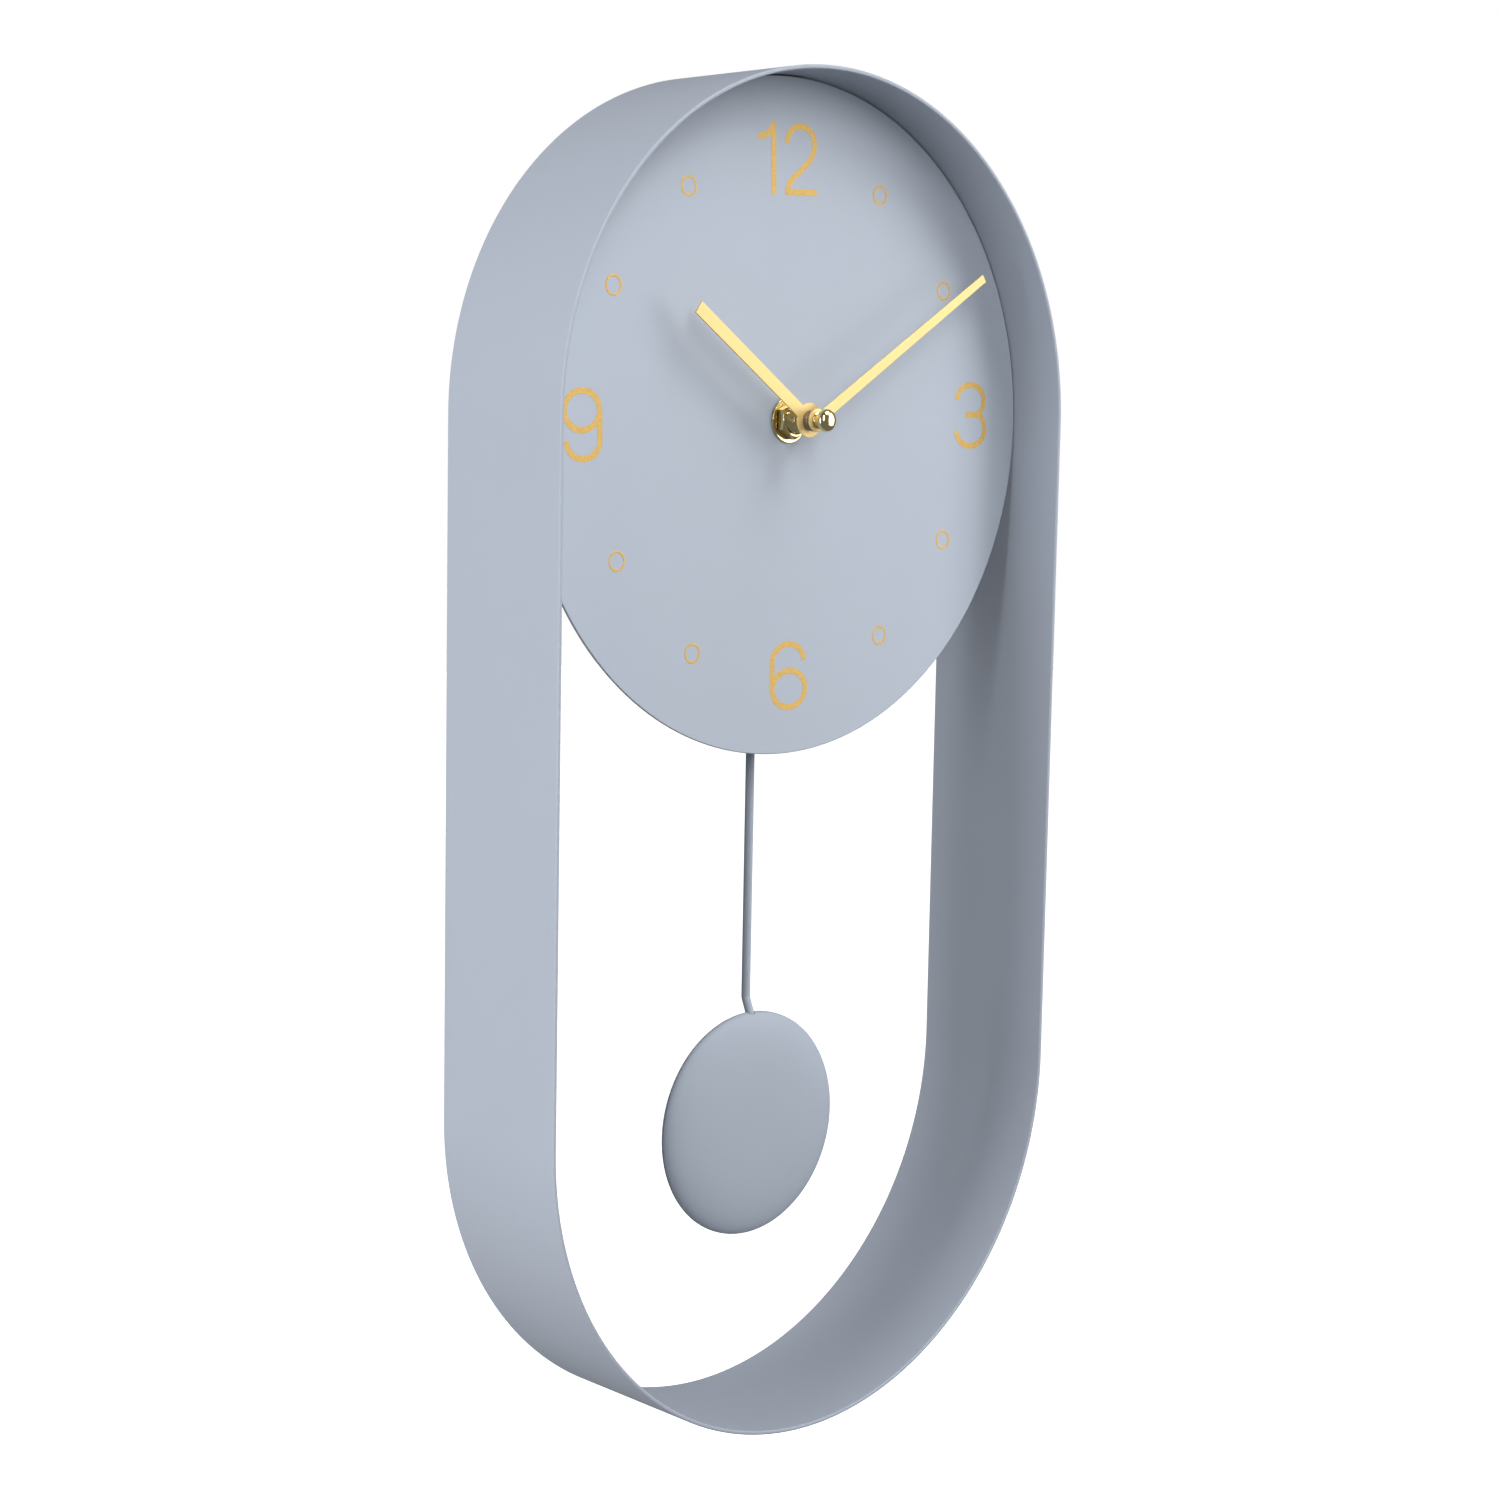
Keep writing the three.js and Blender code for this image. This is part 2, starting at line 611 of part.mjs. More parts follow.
function centreWheel() {
  const outline = toothed(train.centre.centre, train.centre.module, radians(90));
  outline.holes.push(polygon(ring(minuteShaft.rearRadius + play, 14)));
  return slab(outline, centreLayer.front, centreLayer.back);
}
piece("centre_wheel", centreWheel(), materials.whitePlastic);

function thirdWheel() {
  const { third } = train.third;
  const { pinion, module } = train.centre;
  const at = [thirdAt.x, thirdAt.z];
  return arborWith(
    thirdAt,
    [
      slab(toothed(third, thirdModule, radians(-90), ...at), thirdLayer.front, thirdLayer.back),
      slab(
        toothed(pinion, module, meshPhase(radians(90), pinion), ...at),
        centreLayer.front,
        centreLayer.back,
      ),
    ],
    centreLayer.front,
    rearPlate.back - gap,
  );
}
piece("third_wheel", thirdWheel(), materials.whitePlastic);

function secondsWheel() {
  const { seconds, module } = train.seconds;
  const { pinion } = train.third;
  return arborWith(
    { x: 0, z: 0 },
    [
      slab(toothed(seconds, module, Math.PI), secondsLayer.front, secondsLayer.back),
      slab(
        toothed(pinion, thirdModule, meshPhase(radians(-90), pinion)),
        thirdLayer.front,
        secondsLayer.front + 0.2,
      ),
    ],
    trainPlate.back - gap - 1.2,
    rearPlate.back - gap,
  );
}
piece("seconds_wheel", secondsWheel(), materials.whitePlastic);

function intermediateWheel() {
  const { intermediate, module } = train.intermediate;
  const { pinion } = train.seconds;
  const at = [intermediateAt.x, intermediateAt.z];
  const pinionOutline = toothed(pinion, train.seconds.module, meshPhase(Math.PI, pinion), ...at);
  return arborWith(
    intermediateAt,
    [
      slab(toothed(intermediate, module, Math.PI, ...at), intermediateLayer.front, intermediateLayer.back),
      slab(pinionOutline, secondsLayer.front, intermediateLayer.front + 0.2),
    ],
    trainPlate.front + gap,
    rearPlate.back - gap,
  );
}
piece("intermediate_wheel", intermediateWheel(), materials.whitePlastic);

function rotorPinion() {
  const { pinion, module } = train.intermediate;
  const at = [rotorAt.x, rotorAt.z];
  return arborWith(
    rotorAt,
    [
      slab(
        toothed(pinion, module, meshPhase(Math.PI, pinion), ...at),
        intermediateLayer.front,
        intermediateLayer.back,
      ),
    ],
    trainPlate.front + gap,
    rearPlate.back - gap,
  );
}
piece("rotor_pinion", rotorPinion(), materials.whitePlastic);
piece(
  "rotor_magnet",
  bar(rotorMagnet.radius, magnetLayer.front, magnetLayer.back, { ...rotorAt, bore: pivot + play, sides: 16 }),
  materials.magnet,
);

// ---- motor: stator, core, bobbin, winding -------------------------------------------------------

const statorLeft = rotorAt.x - stator.holeRadius - stator.left;
const statorRight = rotorAt.x + stator.holeRadius + stator.right;
const coilZ = -stator.legDrop + core.height / 2 + 1;
const coilX = (statorLeft + statorRight) / 2;
const coreLayer = { front: statorLayer.back + gap, back: statorLayer.back + gap + core.sheet };
const coilY = (coreLayer.front + coreLayer.back) / 2;

// A bridge round the rotor with two legs down to the coil's core.
function statorShape() {
  const { yoke, legWidth, legDrop } = stator;
  const outline = polygon([
    [statorLeft, yoke],
    [statorLeft, -legDrop],
    [statorLeft + legWidth, -legDrop],
    [statorLeft + legWidth, -yoke],
    [statorRight - legWidth, -yoke],
    [statorRight - legWidth, -legDrop],
    [statorRight, -legDrop],
    [statorRight, yoke],
  ]);
  outline.holes.push(polygon(ring(stator.holeRadius, 18, rotorAt.x, rotorAt.z)));
  outline.holes.push(polygon(ring(pivot + 2 * gap, 12, intermediateAt.x, intermediateAt.z)));
  return slab(outline, statorLayer.front, statorLayer.back);
}
piece("stator", statorShape(), materials.steel);
piece(
  "coil_core",
  slab(
    rectangle(statorLeft, coilZ - core.height / 2, statorRight, coilZ + core.height / 2),
    coreLayer.front,
    coreLayer.back,
  ),
  materials.steel,
);

// A profile of [radius, place along the spool] points turned about a line through the coil, along X.
function spool(profile) {
  return new THREE.LatheGeometry(profile.map(([r, along]) => new THREE.Vector2(r, along)), 14)
    .rotateZ(-Math.PI / 2)
    .translate(coilX, coilY, coilZ);
}
const coilHalf = coil.length / 2;
piece(
  "coil_bobbin",
  spool([
    [coil.bore, -coilHalf],
    [coil.flangeRadius, -coilHalf],
    [coil.flangeRadius, -coilHalf + coil.flange],
    [coil.tube, -coilHalf + coil.flange],
    [coil.tube, coilHalf - coil.flange],
    [coil.flangeRadius, coilHalf - coil.flange],
    [coil.flangeRadius, coilHalf],
    [coil.bore, coilHalf],
    [coil.bore, -coilHalf],
  ]),
  materials.whitePlastic,
);
const windingHalf = coilHalf - coil.flange - gap;
piece(
  "motor_coil",
  spool([
    [coil.tube + gap, -windingHalf],
    [coil.radius, -windingHalf],
    [coil.radius, windingHalf],
    [coil.tube + gap, windingHalf],
    [coil.tube + gap, -windingHalf],
  ]),
  materials.copper,
);

// ---- train plates and their screws --------------------------------------------------------------

const plateLeft = rotorAt.x - plateRim.left;
const plateRight = setAt.x + plateRim.right;
const plateTop = Math.max(thirdTop - plateRim.screw, pillars[0].z + screw.post + plateRim.screw);
const tongueEnd = pivotZ - tongue.below;
const pivotHoles = [thirdAt, intermediateAt, rotorAt].map((at) => ({ ...at, radius: pivot + play }));

function trainPlateShape() {
  return drilled(rectangle(plateLeft, plateBottom, plateRight, plateTop), trainPlate.front, trainPlate.back, [
    ...pivotHoles,
    { x: 0, z: 0, radius: minuteShaft.rearRadius + play },
    { ...motionAt, radius: pivot + play },
    { ...setAt, radius: knob.shaftRadius + play },
    ...pillars.map((at) => ({ ...at, radius: screw.radius + play })),
  ]);
}
piece("train_plate", trainPlateShape(), materials.brass);

// The rear plate has three legs that stand on the train plate, and a tongue that holds the rocker's pin.
function rearPlateShape() {
  const shelf = -stator.yoke - 3.5;
  const outline = polygon([
    [plateLeft, shelf],
    [tongue.left, shelf],
    [tongue.left, tongueEnd],
    [tongue.right, tongueEnd],
    [tongue.right, plateBottom],
    [plateRight, plateBottom],
    [plateRight, plateTop],
    [plateLeft, plateTop],
  ]);
  const flat = drilled(outline, rearPlate.front, rearPlate.back, [
    ...pivotHoles,
    { x: 0, z: 0, radius: pivot + play },
    { ...setAt, radius: knob.shaftRadius + play },
    { x: 0, z: pivotZ, radius: rocker.pinRadius + play },
  ]);
  const legs = pillars.map((at) =>
    bar(screw.post, trainPlate.back + gap, rearPlate.front + plate / 2, { ...at, sides: 10 }),
  );
  const bores = pillars.map((at) =>
    bar(screw.radius + play, trainPlate.back, rearPlate.back + 1, { ...at, sides: 10 }),
  );
  return cut(join(flat, ...legs), ...bores);
}
piece("rear_plate", rearPlateShape(), materials.whitePlastic);

// A pan-head screw whose head rests on depth `seat` and whose shank runs forwards.
function screwShape(seat, shank, { x, z }) {
  return turned(
    [
      [0, seat + gap - shank],
      [screw.radius, seat + gap - shank],
      [screw.radius, seat + gap],
      [screw.headRadius, seat + gap],
      [screw.headRadius, seat + gap + 0.6 * screw.head],
      [screw.headRadius * 0.7, seat + gap + screw.head],
      [0, seat + gap + screw.head],
    ],
    10,
  ).translate(x, 0, z);
}
const trainShank = rearPlate.back - trainPlate.front + 4;
pillars.forEach((at, i) =>
  piece("train_screw_" + (i + 1), screwShape(rearPlate.back, trainShank, at), materials.zinc),
);
const coverShank = movement.wall + 6;
coverScrews.forEach((at, i) =>
  piece("cover_screw_" + (i + 1), screwShape(movementBack, coverShank, at), materials.zinc),
);

// ---- movement case and cover --------------------------------------------------------------------

const slotHalf =
  Math.tan(radians(pendulum.swing)) * (pivotZ - movementBottom) +
  rocker.armWidth / 2 / Math.cos(radians(pendulum.swing)) +
  2 * gap;
const rockerBossEnd = rockerLayer.front - gap;
const boardFront = intermediateLayer.front + 1.6;
const boardLayer = { front: boardFront, back: boardFront + board.sheet };
const boardPegs = [board.left + 3, board.right - 3].map((x) => ({ x, z: (board.bottom + board.top) / 2 }));

function movementCase() {
  const root = floorY - 0.5; // how far posts and ribs reach into the front wall
  const { wall, cornerRadius } = movement;
  const shell = cut(
    slab(roundedRectangle(-side, movementBottom, side, movementTop, cornerRadius), movementFront, wallEnd, 6),
    slab(
      roundedRectangle(-inner, bayFloor, inner, movementTop - wall, cornerRadius - wall),
      floorY,
      wallEnd + 1,
      5,
    ),
  );
  const cradle = cut(
    join(
      ...[0.25, 0.75].map((share) => {
        const z = batteryTop - share * battery.length;
        return slab(rectangle(ribRight - 0.4, z - 1, inner + 0.4, z + 1), root, batteryAt.y - 1);
      }),
    ),
    post(battery.radius + gap, batteryAt.x, batteryAt.y, batteryBottom, batteryTop, 20),
  );
  const added = [
    ...coverScrews.map((at) => bar(screw.post, root, wallEnd, { ...at, sides: 10 })),
    ...pillars.map((at) => bar(screw.post, root, trainPlate.front - gap, { ...at, sides: 10 })),
    ...boardPegs.map((at) => bar(2 * board.peg, root, boardLayer.front - gap, { ...at, sides: 10 })),
    ...boardPegs.map((at) => bar(board.peg, root, boardLayer.back + 0.8, { ...at, sides: 10 })),
    bar(3 * pivot, root, hourLayer.front - gap, { ...motionAt, sides: 10 }),
    bar(3 * pivot, root, motionLayer.front - gap, { ...setAt, sides: 10 }),
    bar(rocker.pinRadius + 1.4, root, rockerBossEnd, { z: pivotZ, sides: 10 }),
    slab(rectangle(ribLeft, bayFloor - 0.5, ribRight, bayTop), root, wallEnd),
    slab(rectangle(ribRight - 0.4, bayCeiling, inner + 0.5, bayTop), root, wallEnd),
    cradle,
  ];
  const screwBore = (at, end, deep = 5) =>
    bar(screw.radius + play, end - deep, end + 1, { ...at, sides: 10 });
  const removed = [
    bar(bushing.radius + gap, movementFront - 1, floorY + 1, { sides: 20 }),
    ...coverScrews.map((at) => screwBore(at, wallEnd, 9)),
    ...pillars.map((at) => screwBore(at, trainPlate.front)),
    bar(pivot + play, floorY + gap, motionLayer.front, { ...motionAt, sides: 10 }),
    bar(pivot + play, floorY + gap, motionLayer.front, { ...setAt, sides: 10 }),
    bar(rocker.pinRadius + play, floorY, rockerLayer.back, { z: pivotZ, sides: 10 }),
    slab(
      rectangle(-slotHalf, movementBottom - 1, slotHalf, bayFloor + 1),
      rockerLayer.front - 2 * gap,
      wallEnd + 1,
    ),
  ];
  return cut(join(shell, ...added), ...removed);
}
piece("movement_case", movementCase(), materials.blackPlastic);

function movementCover() {
  const outline = roundedRectangle(-side, movementBottom, side, movementTop, movement.cornerRadius);
  const closed = drilled(outline, coverFront, movementBack, [
    ...coverScrews.map((at) => ({ ...at, radius: screw.radius + play })),
    { ...setAt, radius: knob.shaftRadius + gap },
  ]);
  const bayMouth = rectangle(ribRight, bayFloor + 0.4, inner - 0.6, bayCeiling - 0.4);
  return cut(closed, slab(bayMouth, coverFront - 1, movementBack + 1));
}
piece("movement_cover", movementCover(), materials.blackPlastic);

// ---- circuit ------------------------------------------------------------------------------------

const boardOutline = rectangle(board.left, board.bottom, board.right, board.top);
const boardHoles = boardPegs.map((at) => ({ ...at, radius: board.peg + play }));
piece("circuit_board", drilled(boardOutline, boardLayer.front, boardLayer.back, boardHoles), materials.board);
const chipFront = boardLayer.back + gap;
const boardMiddle = (board.bottom + board.top) / 2;
piece(
  "clock_chip",
  turned(
    [
      [0, chipFront],
      [chip.radius, chipFront],
      [chip.radius * 0.85, chipFront + chip.height * 0.6],
      [chip.radius * 0.5, chipFront + chip.height],
      [0, chipFront + chip.height],
    ],
    16,
  ).translate(chip.x, 0, boardMiddle),
  materials.epoxy,
);
piece(
  "quartz_crystal",
  new THREE.CylinderGeometry(crystal.radius, crystal.radius, crystal.length, 12)
    .rotateZ(Math.PI / 2)
    .translate(crystal.x, chipFront + crystal.radius, boardMiddle),
  materials.zinc,
);

// ---- battery and contacts -----------------------------------------------------------------------

// The cell stands upright with its nub at the top.
function batteryCell() {
  const shoulder = battery.length - battery.nub;
  return new THREE.LatheGeometry(
    [
      [0, 0],
      [battery.radius - 0.4, 0],
      [battery.radius, 0.4],
      [battery.radius, shoulder - 0.4],
      [battery.radius - 0.4, shoulder],
      [battery.nubRadius, shoulder],
      [battery.nubRadius, battery.length],
      [0, battery.length],
    ].map(([r, y]) => new THREE.Vector2(r, y)),
    24,
  )
    .rotateX(Math.PI / 2)
    .translate(batteryAt.x, batteryAt.y, batteryBottom);
}
piece("battery_cell", batteryCell(), materials.batteryWrap);

const contactFront = batteryAt.y - contact.width / 2;
const contactBack = batteryAt.y + contact.width / 2;
const contactHalf = battery.radius - 1;
piece(
  "contact_plus",
  slab(
    rectangle(
      batteryAt.x - contactHalf,
      bayCeiling - gap - contact.sheet,
      batteryAt.x + contactHalf,
      bayCeiling - gap,
    ),
    contactFront,
    contactBack,
  ),
  materials.zinc,
);

// A leaf folded back on itself, whose free end presses up on the cell.
function contactMinus() {
  const left = batteryAt.x - contactHalf;
  const right = batteryAt.x + contactHalf;
  const low = bayFloor + gap;
  const high = batteryBottom - gap;
  const { sheet } = contact;
  return slab(
    polygon([
      [left, low],
      [right, low],
      [right + 0.4, low + sheet],
      [left + 3, high],
      [left + 2.6, high - sheet],
      [right - 1.2, low + sheet],
      [left, low + sheet],
    ]),
    contactFront,
    contactBack,
  );
}
piece("contact_minus", contactMinus(), materials.zinc);

// ---- pendulum drive and pendulum ----------------------------------------------------------------

const driveFront = floorY + gap;
const driveBack = rockerLayer.front - driveCoil.airGap;
piece(
  "drive_bobbin",
  turned(
    [
      [driveCoil.bore, driveBack],
      [driveCoil.bore, driveFront],
      [driveCoil.radius, driveFront],
      [driveCoil.radius, driveFront + driveCoil.flange],
      [driveCoil.tube, driveFront + driveCoil.flange],
      [driveCoil.tube, driveBack - driveCoil.flange],
      [driveCoil.radius, driveBack - driveCoil.flange],
      [driveCoil.radius, driveBack],
      [driveCoil.bore, driveBack],
    ],
    16,
  ).translate(0, 0, driveAt),
  materials.whitePlastic,
);
piece(
  "drive_coil",
  bar(driveCoil.radius - gap, driveFront + driveCoil.flange + gap, driveBack - driveCoil.flange - gap, {
    z: driveAt,
    bore: driveCoil.tube + gap,
    sides: 28,
  }),
  materials.copper,
);
piece(
  "rocker_pin",
  bar(rocker.pinRadius, floorY + gap, rearPlate.back + 0.6, { z: pivotZ, sides: 10 }),
  materials.steel,
);

// A flat lever: boss on the pin, pad round the magnet, arm through the slot in the case, eye for the hook.
function pendulumRocker() {
  const { front, back } = rockerLayer;
  const half = rocker.armWidth / 2;
  const rodHole = rod.radius + gap;
  return cut(
    join(
      slab(rectangle(-half, hookZ, half, pivotZ), front, back),
      bar(rocker.boss, front, back, { z: pivotZ, sides: 16 }),
      bar(magnetPad.radius, front, back, { z: driveAt, sides: 20 }),
      bar(rocker.hook, front, back, { z: hookZ, sides: 16 }),
    ),
    bar(rocker.pinRadius + play, front - 1, back + 1, { z: pivotZ, sides: 10 }),
    bar(rockerMagnet.radius + play, front - 1, back + 1, { z: driveAt, sides: 16 }),
    bar(rodHole, front - 1, back + 1, { z: hookZ, sides: 24 }),
  );
}
piece("pendulum_rocker", pendulumRocker(), materials.whitePlastic);
piece(
  "rocker_magnet",
  bar(rockerMagnet.radius, rockerLayer.back - rockerMagnet.thickness, rockerLayer.back, {
    z: driveAt,
    sides: 16,
  }),
  materials.magnet,
);

// A path through [y, z] corners at x = 0, each corner rounded, with one section at every station.
class RoundedPath extends THREE.Curve {
  constructor(corners, radius, arcSteps = 4) {
    super();
    const at = corners.map(([y, z]) => new THREE.Vector3(0, y, z));
    this.stations = [at[0]];
    for (let i = 1; i < at.length - 1; i += 1) {
      const toBack = at[i - 1].clone().sub(at[i]).normalize();
      const toNext = at[i + 1].clone().sub(at[i]).normalize();
      const halfAngle = toBack.angleTo(toNext) / 2;
      const start = at[i].clone().addScaledVector(toBack, radius / Math.tan(halfAngle));
      const end = at[i].clone().addScaledVector(toNext, radius / Math.tan(halfAngle));
      const middle = toBack.clone().add(toNext).normalize();
      const centre = at[i].clone().addScaledVector(middle, radius / Math.sin(halfAngle));
      const [from, to] = [start.sub(centre), end.sub(centre)];
      const sweep = from.angleTo(to);
      for (let k = 0; k <= arcSteps; k += 1) {
        const t = k / arcSteps;
        const point = from
          .clone()
          .multiplyScalar(Math.sin((1 - t) * sweep) / Math.sin(sweep))
          .addScaledVector(to, Math.sin(t * sweep) / Math.sin(sweep));
        this.stations.push(point.add(centre));
      }
    }
    this.stations.push(at[at.length - 1]);
  }
  getPoint(t, target = new THREE.Vector3()) {
    const place = t * (this.stations.length - 1);
    const i = Math.min(Math.floor(place), this.stations.length - 2);
    return target.lerpVectors(this.stations[i], this.stations[i + 1], place - i);
  }
  getUtoTmapping(u) {
    return u;
  }
}

const rodTop = bob.drop - bob.radius; // drop of the disc's rim
const sleeveTop = -rodTop - sleeve.belowRim;

// Hook through the rocker's eye, a jog into the pendulum's plane, the long straight, and a jog into the disc.
function pendulumRod() {
  const behind = rodY + rod.hookStand;
  const before = rodY - rod.hookStand;
  const path = new RoundedPath(
    [
      [before, hookZ - rod.hookTip],
      [before, hookZ],
      [behind, hookZ],
      [behind, hookZ - rodJog.below],
      [rodY, hookZ - rodJog.ends],
      [rodY, -rodTop + rodJog.aboveDisc],
      [bobY, -rodTop - rodJog.entry],
      [bobY, sleeveTop - sleeve.length + 1],
    ],
    rod.bend,
  );
  const section = polygon(ring(rod.radius, 10));
  const steps = path.stations.length - 1;
  return new THREE.ExtrudeGeometry(section, { extrudePath: path, steps, bevelEnabled: false });
}
piece("pendulum_rod", pendulumRod(), materials.bobPaint);

// Points of a pressed dome from its middle to its rim: flat in the middle, rounding over towards the edge.
function domeProfile(radius, height, steps) {
  return Array.from({ length: steps + 1 }, (_, i) => {
    const share = Math.sin(((i / steps) * Math.PI) / 2);
    return [radius * share, height * (1 - share ** bob.edgePower) ** 0.5];
  });
}

// Half of the disc: a thin dome whose open side lies on the disc's middle plane; facing is -1 in front.
function bobHalf(height, facing) {
  const plane = bobY + (facing * gap) / 2;
  const standing = ([r, h]) => [r, plane + facing * h];
  const outside = domeProfile(bob.radius, height, 8).map(standing);
  const inside = domeProfile(bob.radius - bob.sheet, height - bob.sheet, 5).map(standing);
  const profile = facing < 0 ? [...outside, ...inside.reverse()] : [...inside, ...outside.reverse()];
  const dome = turned(profile, 36).translate(0, 0, -bob.drop);
  const notch = new THREE.CylinderGeometry(rod.radius + gap, rod.radius + gap, 20, 20)
    .rotateX(Math.PI / 2)
    .translate(0, bobY, -rodTop);
  return cut(dome, notch);
}
piece("bob_front", bobHalf(bob.front, -1), materials.bobPaint);
piece("bob_back", bobHalf(bob.back, 1), materials.bobPaint);
piece(
  "bob_sleeve",
  cut(
    post(sleeve.radius, 0, bobY, sleeveTop - sleeve.length, sleeveTop),
    post(rod.radius + gap, 0, bobY, sleeveTop - sleeve.length - 1, sleeveTop + 1),
  ),
  materials.zinc,
);

export default clock;
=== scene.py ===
"""Pendulum wall clock: an oval steel band, a dial with two hands, a battery movement and a disc pendulum.

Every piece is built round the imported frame, in metres, and rides on one of the frame's bodies.
"""
import json
import math

import bmesh
import bpy
import numpy as np
from bpy.props import FloatProperty, FloatVectorProperty, PointerProperty
from mathutils import Matrix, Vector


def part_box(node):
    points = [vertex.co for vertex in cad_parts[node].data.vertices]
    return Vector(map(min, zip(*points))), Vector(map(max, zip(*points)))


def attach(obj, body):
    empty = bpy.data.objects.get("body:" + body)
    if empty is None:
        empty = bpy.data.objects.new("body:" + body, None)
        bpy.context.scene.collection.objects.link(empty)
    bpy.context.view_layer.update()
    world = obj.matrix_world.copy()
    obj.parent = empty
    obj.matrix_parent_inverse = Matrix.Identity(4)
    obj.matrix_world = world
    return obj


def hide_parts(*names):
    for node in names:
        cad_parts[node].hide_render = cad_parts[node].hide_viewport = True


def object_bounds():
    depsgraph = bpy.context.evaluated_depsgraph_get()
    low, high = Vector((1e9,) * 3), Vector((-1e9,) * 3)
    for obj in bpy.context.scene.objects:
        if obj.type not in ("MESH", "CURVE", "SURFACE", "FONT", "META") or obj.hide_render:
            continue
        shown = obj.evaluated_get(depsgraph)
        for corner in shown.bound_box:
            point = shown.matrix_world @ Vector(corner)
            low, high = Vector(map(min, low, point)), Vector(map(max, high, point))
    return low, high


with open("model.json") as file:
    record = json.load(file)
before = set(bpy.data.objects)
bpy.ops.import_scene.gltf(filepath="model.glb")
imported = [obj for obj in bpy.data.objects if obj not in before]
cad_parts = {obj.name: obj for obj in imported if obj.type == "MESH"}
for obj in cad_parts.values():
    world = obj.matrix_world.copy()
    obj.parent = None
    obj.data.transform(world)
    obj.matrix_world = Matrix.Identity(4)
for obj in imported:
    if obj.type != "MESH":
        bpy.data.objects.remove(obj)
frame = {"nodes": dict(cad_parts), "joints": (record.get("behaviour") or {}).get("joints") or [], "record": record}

bl_info = {
    "name": "Pendulum wall clock",
    "version": (1, 0, 0),
    "blender": (4, 5, 0),
    "location": "View3D > Sidebar > Clock",
    "description": "Finishes the packed frame of an oval wall clock with a disc pendulum",
    "category": "Object",
}

MM = 0.001
TAU = 2 * math.pi
CAD_BOX = [[float(v) for v in corner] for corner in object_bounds()]

# ---- places, in millimetres, all read from the frame ----


def corners(node):
    """Lowest and highest corner of a frame node, in millimetres."""
    low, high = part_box(node)
    return np.array(low) / MM, np.array(high) / MM


def pivot(joint):
    """Place of a joint, in millimetres."""
    return np.array(next(j["pos_m"] for j in frame["joints"] if j["name"] == joint)) / MM


def layer(node):
    """Front and back depth of a frame node."""
    low, high = corners(node)
    return low[1], high[1]


def half_width(node):
    """Half of a frame node's width across X."""
    low, high = corners(node)
    return (high[0] - low[0]) / 2


def reach(node, axis):
    """Angle clockwise from twelve, and distance, of a node's furthest point from an axis along Y."""
    points = np.empty(3 * len(frame["nodes"][node].data.vertices), np.float32)
    frame["nodes"][node].data.vertices.foreach_get("co", points)
    across = points.reshape(-1, 3)[:, [0, 2]] / MM - axis[[0, 2]]
    far = np.linalg.norm(across, axis=1)
    tip = across[far > far.max() - 0.01].mean(axis=0)
    return math.atan2(tip[0], tip[1]), float(np.hypot(*tip))


FLANGE_REACH = 1.6  # of the bushing's flange past its thread
BUSHING_WALL = 1.15
FLANGE_SHEET = 1.2
HOLE_PLAY = 0.3  # round the bushing, in the pieces that sit on it


def hole_round_bushing():
    """Radius of the holes of the pieces that sit on the bushing."""
    return half_width("dial_bushing") - FLANGE_REACH + HOLE_PLAY


HANDS_AXIS = pivot("minute_turn")
DIAL_FACE = layer("dial_plate")[0]
ROD_DEPTH = sum(layer("pendulum_rocker")) / 2
DISC_DEPTH = (layer("bob_front")[1] + layer("bob_back")[0]) / 2

# ---- colours ----


def linear(hex_colour):
    """An sRGB hex colour as linear red, green and blue."""
    channels = [((hex_colour >> shift) & 255) / 255 for shift in (16, 8, 0)]
    return tuple(c / 12.92 if c <= 0.04045 else ((c + 0.055) / 1.055) ** 2.4 for c in channels)


# ---- settings ----


def size(name, description, default):
    """A length in millimetres that a user can change."""
    return FloatProperty(name=name, description=description, default=default, min=0.0)


def power(name, description, default):
    """A lamp's power in watts that a user can change."""
    return FloatProperty(name=name, description=description, default=default, min=0.0, unit="POWER")


def colour(name, description, hex_colour):
    """A colour that a user can change."""
    return FloatVectorProperty(
        name=name, description=description, default=linear(hex_colour), min=0.0, max=1.0, subtype="COLOR"
    )


class CaseSettings(bpy.types.PropertyGroup):
    """Sizes and colours of the band, the dial and its print."""

    sheet: size("Band sheet", "Thickness of the band's steel, in mm", 1.2)
    edge: size("Band edge", "Radius that the paint leaves on the band's edges, in mm", 0.45)
    band_paint: colour("Band paint", "Satin blue-grey paint of the band", 0x9EA5B1)
    # the dial's colour is the band's blue-grey paint set lighter: painted light for the brighter light on the
    # dial's face
    dial_paint: colour("Dial paint", "Satin blue-grey paint of the dial", 0xA9B1BD)
    ink: colour("Ink", "Gold ink of the numerals and rings", 0xCFA857)
    stroke: size("Stroke", "Width of the numerals' line, in mm", 1.8)
    numeral_height: size("Numeral height", "Height of the numerals, in mm", 20.6)
    print_turn: FloatProperty(
        name="Print turn",
        description="How far the print is turned anticlockwise",
        default=math.radians(1.8),
        unit="ROTATION",
    )
    ring_radius: size("Ring place", "Distance of the hour rings from the hands' axis, in mm", 76.1)
    ring_size: size("Ring size", "Outer diameter of an hour ring, in mm", 6.0)
    ring_stroke: size("Ring stroke", "Width of an hour ring's line, in mm", 0.7)


